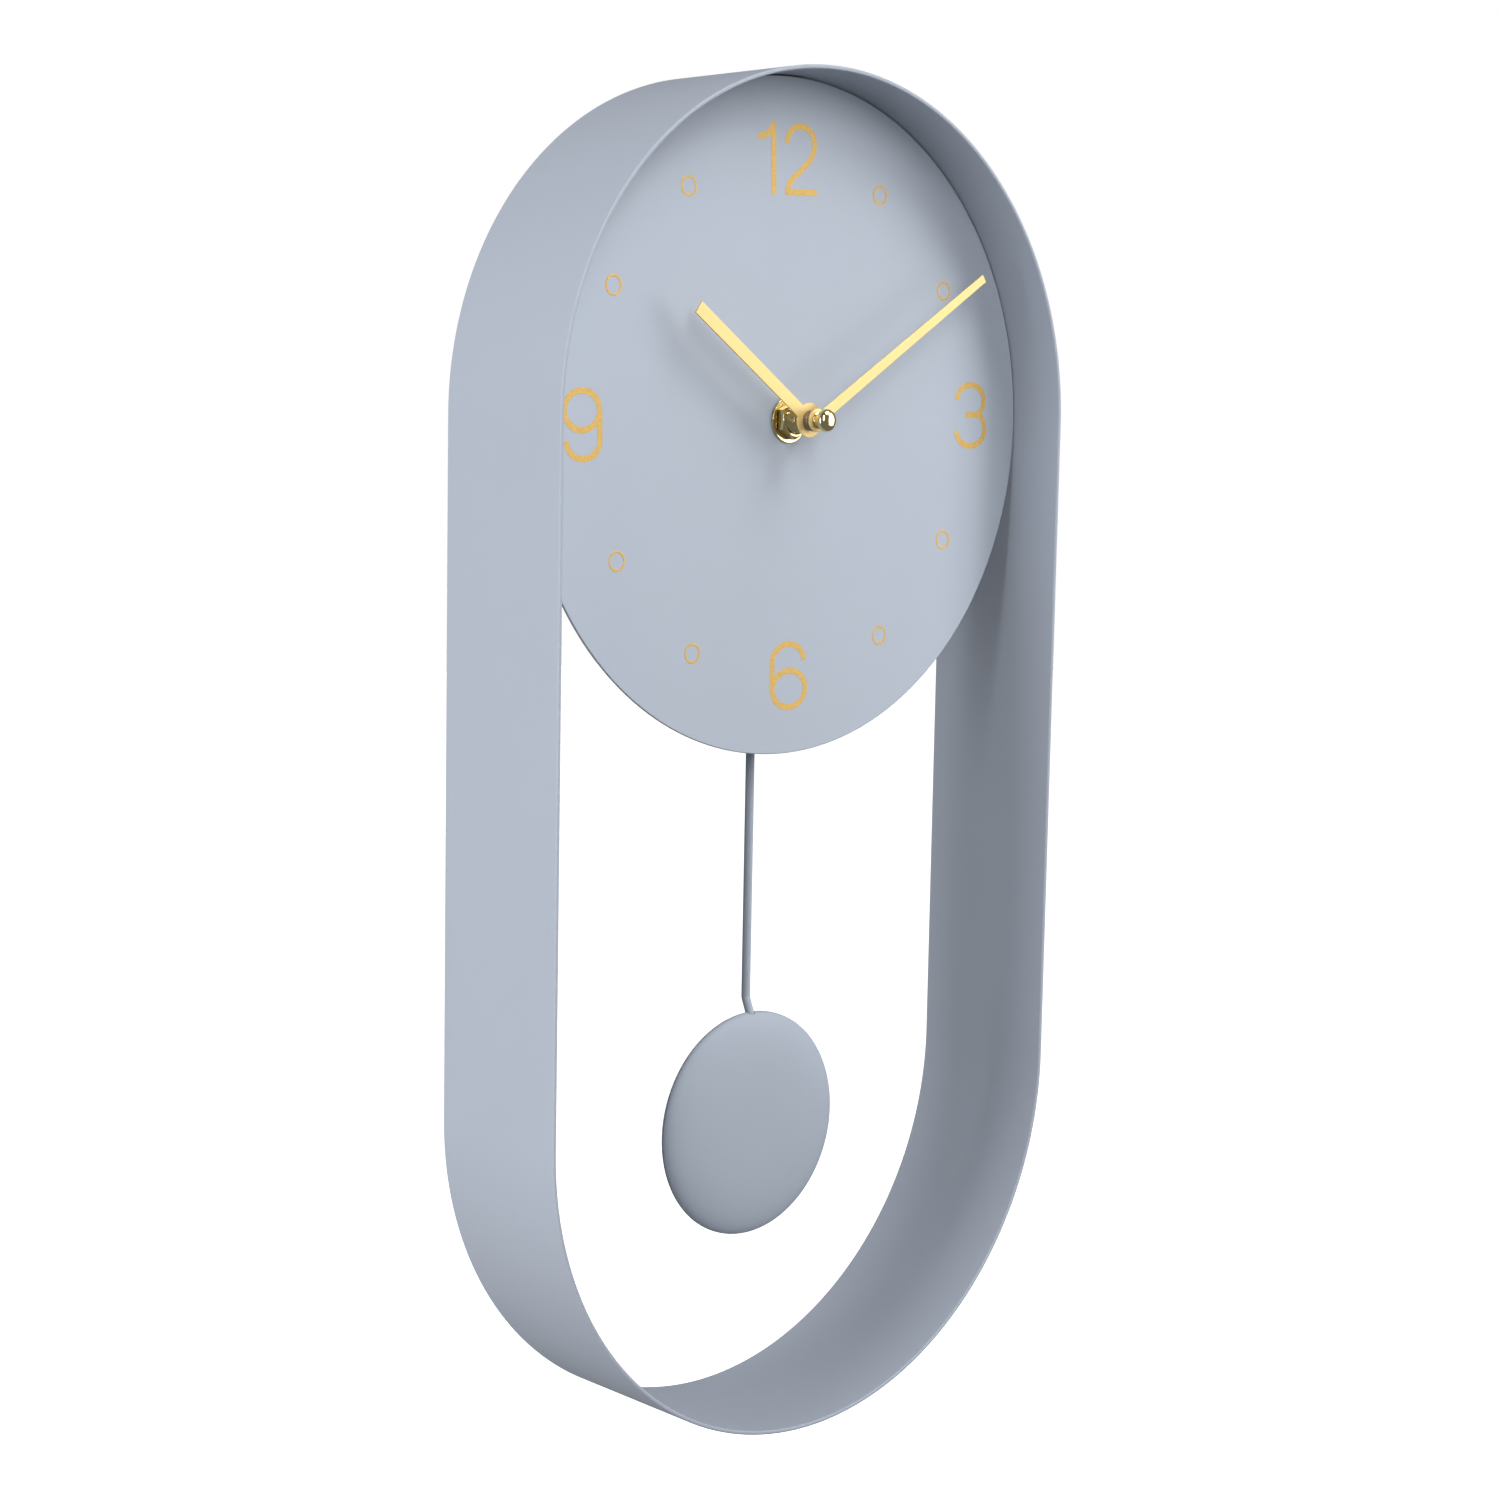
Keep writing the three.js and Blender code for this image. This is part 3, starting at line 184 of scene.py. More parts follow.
class HandSettings(bpy.types.PropertyGroup):
    """Sizes and colours of the hands and what holds them."""

    hour_root: size("Hour hand root", "Width of the hour hand at its hub, in mm", 3.8)
    hour_tip: size("Hour hand tip", "Width of the hour hand at its tip, in mm", 4.0)
    minute_root: size("Minute hand root", "Width of the minute hand at its hub, in mm", 3.3)
    minute_tip: size("Minute hand tip", "Width of the minute hand at its tip, in mm", 2.5)
    hand_gold: colour("Hands", "Pale gold of the anodised hands", 0xE8CA86)
    brass: colour("Brass", "Polished brass of the nut, washer and cap", 0xE2D19C)
    collar: colour("Collar", "Turned collar between the hands", 0x8C8378)


class PendulumSettings(bpy.types.PropertyGroup):
    """Sizes and colour of the pendulum."""

    paint: colour("Pendulum paint", "Satin blue-grey paint of the rod and disc", 0x9FA7B3)
    sheet: size("Disc sheet", "Thickness of the disc's two pressings, in mm", 0.8)
    edge_power: FloatProperty(
        name="Disc edge", description="How late the face rounds over; 2 is a half ellipse", default=3.2, min=0.0
    )
    bend: size("Rod bend", "Radius of the rod's bends, in mm", 2.0)


class MovementSettings(bpy.types.PropertyGroup):
    """Colours of the battery movement."""

    shell: colour("Shell", "Moulded black plastic of the movement", 0x1C1D1F)
    knob: colour("Knob", "Moulded pale plastic of the setting knob and wheels", 0xE4E1D6)
    wrap: colour("Battery film", "Printed film of the cell", 0x31425B)


class StageSettings(bpy.types.PropertyGroup):
    """Light, floor and camera."""

    drop: FloatProperty(name="Floor", description="Distance below the clock", default=0.45, unit="LENGTH")
    key: power("Key light", "Power of the light at the right", 12.8)
    window: power("Window light", "Power of the tall light in front", 9.0)
    side: power("Side light", "Power of the light at the left", 26.0)
    top: power("Top light", "Power of the light from above", 14.0)
    fill: FloatProperty(name="Room light", description="Brightness of the light from all round", default=0.19)
    lens: FloatProperty(name="Lens", description="Focal length on the sensor", default=67.3, unit="CAMERA")


# ---- surfaces ----


def grid_quads(rows, columns, wrap_rows=False):
    """Quads between each point of a grid and its neighbours. Columns go round, and rows may."""
    row = np.arange(rows if wrap_rows else rows - 1)[:, None]
    column = np.arange(columns)[None, :]
    next_row, next_column = (row + 1) % rows, (column + 1) % columns
    quads = [row * columns + column, row * columns + next_column]
    quads += [next_row * columns + next_column, next_row * columns + column]
    return np.stack(np.broadcast_arrays(*quads), axis=-1).reshape(-1, 4)


def rounded(points, radii, steps=5):
    """An outline with each corner replaced by an arc that touches both of its sides.

    The arc is a rational curve of second order: it leaves one side and meets the other at the radius over the
    tangent of half the corner's angle, and the corner itself weighs as much as the sine of that half angle.
    """
    points = np.asarray(points, float)
    radii = np.broadcast_to(np.asarray(radii, float), len(points))[:, None]
    back, ahead = np.roll(points, 1, axis=0) - points, np.roll(points, -1, axis=0) - points
    back /= np.linalg.norm(back, axis=1, keepdims=True)
    ahead /= np.linalg.norm(ahead, axis=1, keepdims=True)
    half = np.arccos(np.clip((back * ahead).sum(axis=1, keepdims=True), -1, 1)) / 2
    cut = radii / np.tan(half)
    t = np.linspace(0, 1, steps + 1)[None, :, None]
    weights = [(1 - t) ** 2, 2 * t * (1 - t) * np.sin(half)[:, None], t**2]
    places = [points + back * cut, points, points + ahead * cut]
    arcs = sum(w * p[:, None] for w, p in zip(weights, places)) / sum(weights)
    line = arcs.reshape(-1, points.shape[1])
    apart = np.linalg.norm(np.diff(line, axis=0), axis=1) > 1e-5
    return line[np.concatenate([[True], apart])]


def turned(radius, along, centre, axis="y", sides=96, closed=True):
    """A surface turned about a line along one axis: every row is a circle of its own radius at its own place.

    radius has one value for each row, or one for each row and side. A closed profile joins its last row to
    its first; an open one starts and ends on the line.
    """
    angle = np.arange(sides) / sides * TAU
    radius = np.asarray(radius, float)
    radius = radius[:, None] if radius.ndim == 1 else radius
    along = np.asarray(along, float)[:, None] + 0 * angle
    first, second = radius * np.sin(angle), radius * np.cos(angle)
    if axis == "y":
        grid = np.stack([centre[0] + first, along, centre[-1] + second], axis=-1)
    else:
        grid = np.stack([centre[0] + first, centre[1] - second, along], axis=-1)
    return grid.reshape(-1, 3), grid_quads(len(along), sides, wrap_rows=closed)


def plate(outline, front, back, centre, bore):
    """A flat plate with a bore between two depths, from an outline of (x, z) points round its centre.

    Each outline point has a partner on the bore's circle at the same angle, and four loops close the surface:
    bore and outline in front, outline and bore behind.
    """
    hole = on_circle(outline, bore)
    flat = np.concatenate([hole, outline, outline, hole])
    depth = np.repeat([front, front, back, back], len(outline))
    points = np.stack([centre[0] + flat[:, 0], depth, centre[-1] + flat[:, 1]], axis=-1)
    return points, grid_quads(4, len(outline), wrap_rows=True)


def on_circle(outline, radius):
    """Each point of an outline drawn to a circle round its centre, at the same angle."""
    return outline / np.linalg.norm(outline, axis=1, keepdims=True) * radius


def carried(section, path, outward):
    """A closed section of (outward, depth) points carried round a closed path of (x, z) points."""
    across = path[None] + section[:, None, :1] * outward[None]
    depth = np.broadcast_to(section[:, 1:2], across.shape[:2])
    grid = np.stack([across[..., 0], depth, across[..., 1]], axis=-1)
    return grid.reshape(-1, 3), grid_quads(*across.shape[:2], wrap_rows=True)


def swept(line, radius, x, sides=32):
    """A round rod along a line of (y, z) points, each row a circle across the line, its ends rounded over."""
    cap = np.sin(np.linspace(0, math.pi / 2, 5))[:-1]
    along = np.gradient(line, axis=0)
    along /= np.linalg.norm(along, axis=1, keepdims=True)
    tip = (1 - np.sqrt(1 - cap**2)) * radius * 0.5
    start = line[0] + along[0] * tip[:, None]
    end = line[-1] - along[-1] * tip[::-1, None]
    rows = np.concatenate([start, line[1:-1], end])
    course = np.concatenate([np.tile(along[0], (len(cap), 1)), along[1:-1], np.tile(along[-1], (len(cap), 1))])
    scale = np.concatenate([cap, np.ones(len(line) - 2), cap[::-1]])[:, None] * radius
    angle = np.arange(sides) / sides * TAU
    across = np.stack([-course[:, 1], course[:, 0]], axis=-1)
    flat = rows[:, None] + (scale * np.sin(angle))[..., None] * across[:, None]
    grid = np.concatenate([(x + scale * np.cos(angle))[..., None], flat], axis=-1)
    return grid.reshape(-1, 3), grid_quads(len(rows), sides)


def ribbon(line, width, low, high, rise):
    """A flat band of ink along a line of (x, z) points: half its width to each side, with mitred corners.

    Its top rises evenly by `rise` from one end to the other, so that it lies clear of itself at a crossing.
    """
    line = np.asarray(line, float)
    step = np.diff(line, axis=0)
    side = np.stack([step[:, 1], -step[:, 0]], axis=-1) / np.linalg.norm(step, axis=1, keepdims=True)
    before, after = np.concatenate([side[:1], side]), np.concatenate([side, side[-1:]])
    middle = before + after
    middle /= np.linalg.norm(middle, axis=1, keepdims=True)
    reach_out = middle / np.clip((middle * after).sum(axis=1, keepdims=True), 0.5, 1) * width / 2
    top = high + np.linspace(0, rise, len(line))
    edges = [(line + reach_out, 0 * top + low), (line + reach_out, top)]
    edges += [(line - reach_out, top), (line - reach_out, 0 * top + low)]
    rows = [np.stack([flat[:, 0], depth, flat[:, 1]], axis=-1) for flat, depth in edges]
    count = len(line)
    grid = np.stack(rows, axis=1).reshape(-1, 3)
    faces = grid_quads(count, 4).tolist()
    return grid, faces + [[0, 1, 2, 3], [4 * count - 1, 4 * count - 2, 4 * count - 3, 4 * count - 4]]


def together(shapes):
    """Several (points, faces) as one."""
    starts = np.cumsum([0] + [len(points) for points, _ in shapes])
    faces = [[int(i) + start for i in face] for (_, fs), start in zip(shapes, starts) for face in fs]
    return np.concatenate([points for points, _ in shapes]), faces


def oval(radius, straight, centre_z, arc_steps=96, side_steps=24):
    """Points of a half circle over centre_z, straight sides and a half circle below, with their normals."""
    turn = np.linspace(0, math.pi, arc_steps, endpoint=False)
    down = np.linspace(0, straight, side_steps, endpoint=False)
    arc = np.stack([np.cos(turn), np.sin(turn)], axis=-1)
    left = np.tile([-1.0, 0.0], (side_steps, 1))
    outward = np.concatenate([arc, left, -arc, -left])
    drop = np.concatenate([0 * turn, down, 0 * turn + straight, straight - down])
    path = outward * radius + np.stack([0 * drop, centre_z - drop], axis=-1)
    return path, outward


# ---- pieces ----

CREASE = 32  # degrees from which an edge stays sharp


def added(name, data):
    """A new object of the scene, left at the origin."""
    thing = bpy.data.objects.new(name, data)
    bpy.context.scene.collection.objects.link(thing)
    return thing


def closed_mesh(name, shape, uv=None):
    """A mesh from points in millimetres and faces, with doubles merged and faces turned outwards."""
    points, faces = shape
    mesh = bpy.data.meshes.new(name)
    mesh.from_pydata((points * MM).tolist(), [], faces.tolist() if isinstance(faces, np.ndarray) else faces)
    if uv is not None:
        corner = np.empty(len(mesh.loops), np.int32)
        mesh.loops.foreach_get("vertex_index", corner)
        mesh.uv_layers.new(name="UVMap").data.foreach_set("uv", np.asarray(uv, np.float32)[corner].ravel())
    shell = bmesh.new()
    shell.from_mesh(mesh)
    bmesh.ops.remove_doubles(shell, verts=shell.verts, dist=1e-7)
    bmesh.ops.dissolve_degenerate(shell, edges=shell.edges, dist=1e-8)
    bmesh.ops.recalc_face_normals(shell, faces=shell.faces)
    shell.to_mesh(mesh)
    shell.free()
    return mesh


def shaded(mesh, crease=CREASE):
    """Smooth faces, with edges sharp from the crease's angle up."""
    mesh.shade_smooth()
    mesh.set_sharp_from_angle(angle=math.radians(crease))


def finish_piece(name, mesh, material, body, slot=None, replaces=(), bevel=0.0, crease=CREASE):
    """Links a mesh as a piece of the clock: it stays at the origin, rides on a body, and has its edges broken
    and its shading evened. It may stand for nodes of the frame."""
    piece = added(name, mesh)
    mesh.materials.clear()
    mesh.materials.append(material)
    shaded(mesh, crease)
    if bevel:
        edge = piece.modifiers.new("broken_edges", "BEVEL")
        edge.width, edge.segments, edge.limit_method = bevel * MM, 2, "ANGLE"
        edge.angle_limit = math.radians(crease)
    even = piece.modifiers.new("even_shading", "WEIGHTED_NORMAL")
    even.keep_sharp = not bevel
    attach(piece, body)
    if replaces:
        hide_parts(*replaces)
    return piece


def body_of(node):
    """Name of the body that a frame node rides on."""
    return next(name for name, nodes in frame["record"]["behaviour"]["bodies"].items() if node in nodes)


def slot_of(node):
    """Material slot of a frame node."""
    return next(row["material_slot"] for row in frame["record"]["subparts"] if row["node"] == node)


def stand_in(node, name, shape, material=None, uv=None, **edges):
    """A new piece in a frame node's place, on the same body, with the material of the node's slot unless another
    is given.
    """
    slot = slot_of(node)
    mesh = closed_mesh(name, shape, uv)
    return finish_piece(name, mesh, material or finish(slot), body_of(node), slot, [node], **edges)


def broken_edges(node, name, width):
    """A copy of a frame node with its loose triangles merged, its flat faces joined and its edges broken."""
    mesh = frame["nodes"][node].data.copy()
    shell = bmesh.new()
    shell.from_mesh(mesh)
    bmesh.ops.remove_doubles(shell, verts=shell.verts, dist=2e-6)
    bmesh.ops.dissolve_limit(shell, verts=shell.verts, edges=shell.edges, angle_limit=math.radians(0.5))
    shell.to_mesh(mesh)
    shell.free()
    slot = slot_of(node)
    finish_piece(name, mesh, finish(slot), body_of(node), slot, [node], width)


# ---- materials ----

SHADER = "Principled BSDF"


def add_node(tree, kind, inputs=None, **settings):
    """Adds a node with its settings. An input that is a socket is linked, and any other is set as a value."""
    node = tree.nodes.new(kind)
    for key, value in settings.items():
        setattr(node, key, value)
    for key, value in (inputs or {}).items():
        if isinstance(value, bpy.types.NodeSocket):
            tree.links.new(value, node.inputs[key])
        else:
            node.inputs[key].default_value = value
    return node


def new_material(name, metallic, **constants):
    """A material with one Principled shader whose even values are set on its own sockets."""
    material = bpy.data.materials.new(name)
    material.use_nodes = True
    shader = material.node_tree.nodes[SHADER]
    shader.inputs["Metallic"].default_value = metallic
    for key, value in constants.items():
        shader.inputs[key.replace("_", " ")].default_value = value
    return material, material.node_tree


def grain(tree, grain_mm, stretch=(1, 1, 1), detail=2.0, source="Object"):
    """Soft random grain of a real size, drawn out along an axis where stretch is below one."""
    place = add_node(tree, "ShaderNodeTexCoord")
    scale = [share / (grain_mm * MM) for share in stretch]
    scaled = add_node(tree, "ShaderNodeMapping", {"Vector": place.outputs[source], "Scale": scale})
    noise = add_node(
        tree, "ShaderNodeTexNoise", {"Vector": scaled.outputs["Vector"], "Scale": 1.0, "Detail": detail}
    )
    return noise.outputs["Fac"]


def gloss_between(tree, factor, low, high):
    """Roughness that wanders between two values."""
    ends = {"From Min": 0.3, "From Max": 0.7, "To Min": low, "To Max": high}
    spread = add_node(tree, "ShaderNodeMapRange", {"Value": factor, **ends})
    tree.links.new(spread.outputs["Result"], tree.nodes[SHADER].inputs["Roughness"])


def varied(material, rgb, tint, gloss, bump=None):
    """A material's colour wanders between two shares of rgb and its roughness between two values, each along
    the grain given before them. A bump is a grain and its real depth in millimetres."""
    tree = material.node_tree
    dark, light = ((*(min(1.0, c * share) for c in rgb), 1) for share in tint[1:])
    mix = add_node(tree, "ShaderNodeMix", {0: tint[0], 6: dark, 7: light}, data_type="RGBA")
    tree.links.new(mix.outputs[2], tree.nodes[SHADER].inputs["Base Color"])
    gloss_between(tree, *gloss)
    if bump:
        relief = add_node(tree, "ShaderNodeBump", {"Height": bump[0], "Distance": bump[1] * MM})
        tree.links.new(relief.outputs["Normal"], tree.nodes[SHADER].inputs["Normal"])
    return material


def powder_coated_steel(name, rgb):
    """Satin powder coat on sheet steel: a soft wide highlight over a fine orange peel."""
    material, tree = new_material(name, 0.0, Specular_IOR_Level=0.3)
    # real peel is about 0.5 mm, drawn as 0.9 to show
    return varied(
        material,
        rgb,
        (grain(tree, 30), 0.985, 1.015),
        (grain(tree, 6), 0.52, 0.6),
        (grain(tree, 0.9, detail=3.0), 0.012),
    )


def gold_ink(name, rgb):
    """Screen-printed bronze-powder ink: warm gold with single flakes that catch the light."""
    material, tree = new_material(name, 0.2)
    place = add_node(tree, "ShaderNodeTexCoord")
    # powder of 0.05 mm, drawn as clusters of 0.3 mm
    cells = {"Vector": place.outputs["Object"], "Scale": 1 / (0.3 * MM)}
    flakes = add_node(tree, "ShaderNodeTexVoronoi", cells)
    level = add_node(tree, "ShaderNodeSeparateColor", {"Color": flakes.outputs["Color"]})
    return varied(
        material,
        rgb,
        (level.outputs["Red"], 0.88, 1.12),
        (level.outputs["Green"], 0.45, 0.65),
        (level.outputs["Blue"], 0.03),
    )


def brushed_gold_anodised(name, rgb):
    """Aluminium sheet brushed along the hand and anodised pale gold: a cloudy oxide over the metal."""
    material, tree = new_material(name, 0.35)
    lines = grain(tree, 0.18, (0.02, 1, 1), detail=3.0, source="UV")
    return varied(material, rgb, (lines, 0.97, 1.02), (lines, 0.46, 0.54), (lines, 0.001))


def turned_metal(name, rgb, low, high, depth_mm=0.002):
    """Bar metal turned on a lathe: fine lines run round the axis, which lies along Y."""
    material, tree = new_material(name, 1.0)
    lines = grain(tree, 0.25, (0.03, 1, 0.03))
    return varied(material, rgb, (lines, 0.95, 1.03), (lines, low, high), (lines, depth_mm))


def polished_brass(name, rgb):
    """Brass turned and buffed: nearly a mirror, with the last faint lathe lines."""
    return turned_metal(name, rgb, 0.07, 0.14, depth_mm=0.0008)


def plain_turned_steel(name, rgb):
    """Free-cutting steel as it leaves the lathe: grey and finely lined."""
    return turned_metal(name, rgb, 0.25, 0.38)


def zinc_plated_steel(name, rgb):
    """Bright zinc plate on steel: pale, slightly cloudy, with soft gloss."""
    material, tree = new_material(name, 1.0)
    cloud = grain(tree, 2.5, detail=3.0)
    return varied(material, rgb, (cloud, 0.88, 1.05), (cloud, 0.22, 0.42), (grain(tree, 0.5), 0.004))


def moulded_abs(name, rgb):
    """ABS from a spark-eroded mould: an even fine leather of tiny pits, with a dull sheen."""
    material, tree = new_material(name, 0.0, IOR=1.54)
    pits = grain(tree, 0.6)
    return varied(material, rgb, (grain(tree, 12), 0.9, 1.12), (pits, 0.46, 0.62), (pits, 0.02))


def moulded_acetal(name, rgb):
    """Natural acetal from a polished mould: milky, a little translucent, with slight flow marks."""
    material, tree = new_material(
        name, 0.0, IOR=1.48, Subsurface_Weight=0.15, Subsurface_Radius=(0.002, 0.0018, 0.0015)
    )
    flow = grain(tree, 3, (1, 1, 0.4))
    return varied(material, rgb, (flow, 0.95, 1.03), (flow, 0.34, 0.46))


def moulded_rubber(name, rgb):
    """Nitrile rubber sheet: dark, matt, faintly dusty."""
    material, tree = new_material(name, 0.0, IOR=1.52)
    dust = grain(tree, 0.8, detail=4.0)
    return varied(material, rgb, (dust, 0.85, 1.3), (dust, 0.75, 0.92), (dust, 0.03))


def wound_copper_wire(name, rgb):
    """Enamelled copper wire, wound in layers: bright turns, with painted shade darkening the lines between them.
    """
    material, tree = new_material(name, 1.0)
    place = add_node(tree, "ShaderNodeTexCoord")
    # wire of 0.08 mm, drawn as turns of 0.3 mm
    wave = {"Vector": place.outputs["Object"], "Scale": 1 / (0.3 * MM) / TAU}
    turns = add_node(tree, "ShaderNodeTexWave", wave, bands_direction="Y")
    # the colour's dark share between the turns is painted shade in the gaps; the relief along the same waves is
    # real
    return varied(
        material,
        rgb,
        (turns.outputs["Fac"], 0.45, 1.0),
        (grain(tree, 1), 0.22, 0.34),
        (turns.outputs["Fac"], 0.08),
    )


def soldermask_board(name, rgb):
    """Glass-epoxy board under green solder mask: glossy, with the weave just showing."""
    material, tree = new_material(name, 0.0, IOR=1.5)
    weave = grain(tree, 0.8, (1, 1, 0.4))
    return varied(material, rgb, (weave, 0.8, 1.15), (weave, 0.25, 0.4))


def poured_epoxy(name, rgb):
    """Black epoxy drop over a bare chip: glossy, with a slightly dull skin."""
    material, tree = new_material(name, 0.0, IOR=1.55)
    skin = grain(tree, 1.2)
    return varied(material, rgb, (skin, 0.8, 1.4), (skin, 0.18, 0.3))


def sintered_magnet(name, rgb):
    """Nickel-plated sintered magnet: grey metal with a fine powder grain."""
    material, tree = new_material(name, 0.9)
    powder = grain(tree, 0.3, detail=4.0)
    return varied(material, rgb, (powder, 0.8, 1.15), (powder, 0.35, 0.5), (powder, 0.01))


def printed_cell_film(name, rgb, low_z, high_z):
    """Shrunk plastic film round a steel cell: dark, with a pale band near its upper end, and glossy."""
    material, tree = new_material(name, 0.25, Coat_Weight=0.6, Coat_Roughness=0.12)
    place = add_node(tree, "ShaderNodeTexCoord")
    split = add_node(tree, "ShaderNodeSeparateXYZ", {"Vector": place.outputs["Object"]})
    ends = {"From Min": low_z * MM, "From Max": high_z * MM}
    height = add_node(tree, "ShaderNodeMapRange", {"Value": split.outputs["Z"], **ends})
    bands = add_node(tree, "ShaderNodeValToRGB", {"Fac": height.outputs["Result"]})
    cream, copper = linear(0xD8D3C4), linear(0xB88A4A)
    stops = [(0.0, rgb), (0.72, rgb), (0.725, cream), (0.76, cream), (0.765, copper)]
    ramp = bands.color_ramp
    ramp.interpolation = "LINEAR"
    for place_on, (share, tone) in enumerate(stops):
        stop = ramp.elements[place_on] if place_on < 2 else ramp.elements.new(share)
        stop.position, stop.color = share, (*tone, 1)
    tree.links.new(bands.outputs["Color"], tree.nodes[SHADER].inputs["Base Color"])
    gloss_between(tree, grain(tree, 1.5), 0.26, 0.34)
    return material


def studio_paper(name, rgb):
    """Seamless background paper: even, matt, with a faint tooth, lit from behind so that it reads white."""
    material, tree = new_material(
        name, 0.0, Specular_IOR_Level=0.2, Emission_Color=(1, 1, 1, 1), Emission_Strength=1.0
    )
    tooth = grain(tree, 4.0)
    return varied(material, rgb, (tooth, 0.99, 1.0), (tooth, 0.85, 0.95))


FINISHES = {
    "steel": lambda: plain_turned_steel("turned_steel", linear(0xB9BCC0)),
    "zinc": lambda: zinc_plated_steel("zinc_plated_steel", linear(0xC3C5C6)),
    "rubber": lambda: moulded_rubber("nitrile_rubber", linear(0x2A2A2B)),
    "copper": lambda: wound_copper_wire("enamelled_copper_wire", linear(0xB4673A)),
    "board": lambda: soldermask_board("soldermask_board", linear(0x2F5D3A)),
    "epoxy": lambda: poured_epoxy("poured_epoxy", linear(0x151516)),
    "magnet": lambda: sintered_magnet("sintered_magnet", linear(0x5B5D60)),
    "case_paint": lambda: powder_coated_steel("band_powder_coat", settings("clock_case").band_paint),
    # the dial's paint is set lighter than the band's: painted light on the dial's face
    "dial_paint": lambda: powder_coated_steel("dial_powder_coat", settings("clock_case").dial_paint),
    "pendulum_paint": lambda: powder_coated_steel("pendulum_powder_coat", settings("clock_pendulum").paint),
    "hand_gold": lambda: brushed_gold_anodised("brushed_gold_anodised", settings("clock_hands").hand_gold),
    "brass": lambda: polished_brass("polished_brass", settings("clock_hands").brass),
    "black_plastic": lambda: moulded_abs("moulded_black_abs", settings("clock_movement").shell),
    "white_plastic": lambda: moulded_acetal("moulded_acetal", settings("clock_movement").knob),
    "battery_wrap": lambda: printed_cell_film(
        "printed_cell_film", settings("clock_movement").wrap, *(end[2] for end in corners("battery_cell"))
    ),
}
made_finishes = {}


def finish(slot):
    """The material of a slot, made once."""
    if slot not in made_finishes:
        made_finishes[slot] = FINISHES[slot]()
    return made_finishes[slot]


def settings(group):
    """One group of the scene's clock settings."""
    return getattr(bpy.context.scene, group)


# ---- numerals: centre lines round each numeral's own middle, in millimetres for a height of 20.5 ----


def bow(centre_x, centre_z, half_x, half_z, start, end, steps=24):
    """Part of an ellipse from one angle to another, in degrees anticlockwise from the right."""
    angle = np.radians(np.linspace(start, end, steps))
    return np.stack([centre_x + half_x * np.cos(angle), centre_z + half_z * np.sin(angle)], axis=-1)


def bend(first, second, third, fourth, steps=18):
    """A cubic curve that leaves the first point towards the second and meets the fourth from the third."""
    t = np.linspace(0, 1, steps)[:, None]
    points = [np.asarray(p, float) for p in (first, second, third, fourth)]
    shares = [(1 - t) ** 3, 3 * t * (1 - t) ** 2, 3 * t**2 * (1 - t), t**3]
    return sum(share * point for share, point in zip(shares, points))


def one_and_two():
    """Twelve: a stem with a curved flag, and a round-headed two on a flat foot."""
    flag = bow(-11.6, 10.25, 6.3, 4.4, -4, -88)
    stem = [(-5.3, 10.25), (-5.3, -10.25)]
    arch = bow(5.45, 4.4, 5.45, 4.95, 180, 0)
    slope = bend((10.9, 4.4), (10.9, 1.6), (9.4, 0.1), (6.9, -2.0))
    foot = bend((6.9, -2.0), (3.4, -4.9), (0.1, -6.2), (0.1, -9.35))
    two = np.concatenate([arch, slope[1:], foot[1:], [(11.7, -9.35)]])
    return [flag, stem, two]


def three():
    """Three: two open bowls that meet in a short level bar."""
    upper = [bow(-0.1, 4.75, 6.0, 4.6, 178, 0), bow(2.6, 4.75, 3.3, 4.55, 0, -90)[1:], [(-2.2, 0.2)]]
    lower = [bow(2.6, -4.55, 3.8, 4.75, 90, 0), bow(0, -4.55, 6.4, 4.8, 0, -180)[1:]]
    return [np.concatenate(upper), np.concatenate(lower)]


def six():
    """Six: an open head that falls into a closed round bowl."""
    head = bow(-0.28, 4.3, 6.37, 5.05, 0, 180)
    bowl = bow(0, -3.95, 6.65, 5.4, 180, 540, steps=64)
    return [np.concatenate([head, bowl])]


def nine():
    """Nine: the six turned half round, a little narrower."""
    return [line * (-14.1 / 15.1, -1) for line in six()]


DRAWN_HEIGHT = 20.5
# each numeral's lines, and how far its middle is from the print's middle
NUMERALS = {12: (one_and_two, 75.0), 3: (three, 78.3), 6: (six, 75.3), 9: (nine, 77.7)}


# ---- operators: one for each piece or group of like pieces ----


class PieceOperator:
    """What every operator of the clock shares: it can be undone, and it ends finished or raises."""

    bl_options = {"REGISTER", "UNDO"}


def round_bushing(node, edges, sides):
    """A flat ring on the bushing, in a frame node's layer: a turned rectangle with rounded corners."""
    front, back = layer(node)
    radius, hole = half_width(node), hole_round_bushing()
    profile = rounded([(hole, front), (radius, front), (radius, back), (hole, back)], edges)
    return turned(*profile.T, HANDS_AXIS, sides=sides)


def plain_rows(profile, sides):
    """The radii of a profile's points, each repeated round all the sides."""
    return np.repeat([[radius] for radius, _ in profile], sides, axis=1)


class CLOCK_OT_band(PieceOperator, bpy.types.Operator):
    """Makes the oval band: a flat steel section with painted round edges, carried round a half circle, two
    straight sides and a second half circle"""

    bl_idname = "clock.band"
    bl_label = "Oval band"

    def execute(self, context):
        case = context.scene.clock_case
        low, high = corners("case_band")
        radius = half_width("case_band")
        straight = high[2] - low[2] - 2 * radius
        sheet = [(-case.sheet, low[1]), (0, low[1]), (0, high[1]), (-case.sheet, high[1])]
        path, outward = oval(radius, straight, high[2] - radius)
        stand_in("case_band", "oval_band", carried(rounded(sheet, case.edge, steps=6), path, outward))
        return {"FINISHED"}


class CLOCK_OT_dial(PieceOperator, bpy.types.Operator):
    """Makes the dial: a flat disc with a centre hole, its edges rounded by the paint"""

    bl_idname = "clock.dial"
    bl_label = "Dial"

    def execute(self, context):
        stand_in("dial_plate", "dial", round_bushing("dial_plate", [0.1, 0.35, 0.35, 0.1], 192))
        return {"FINISHED"}


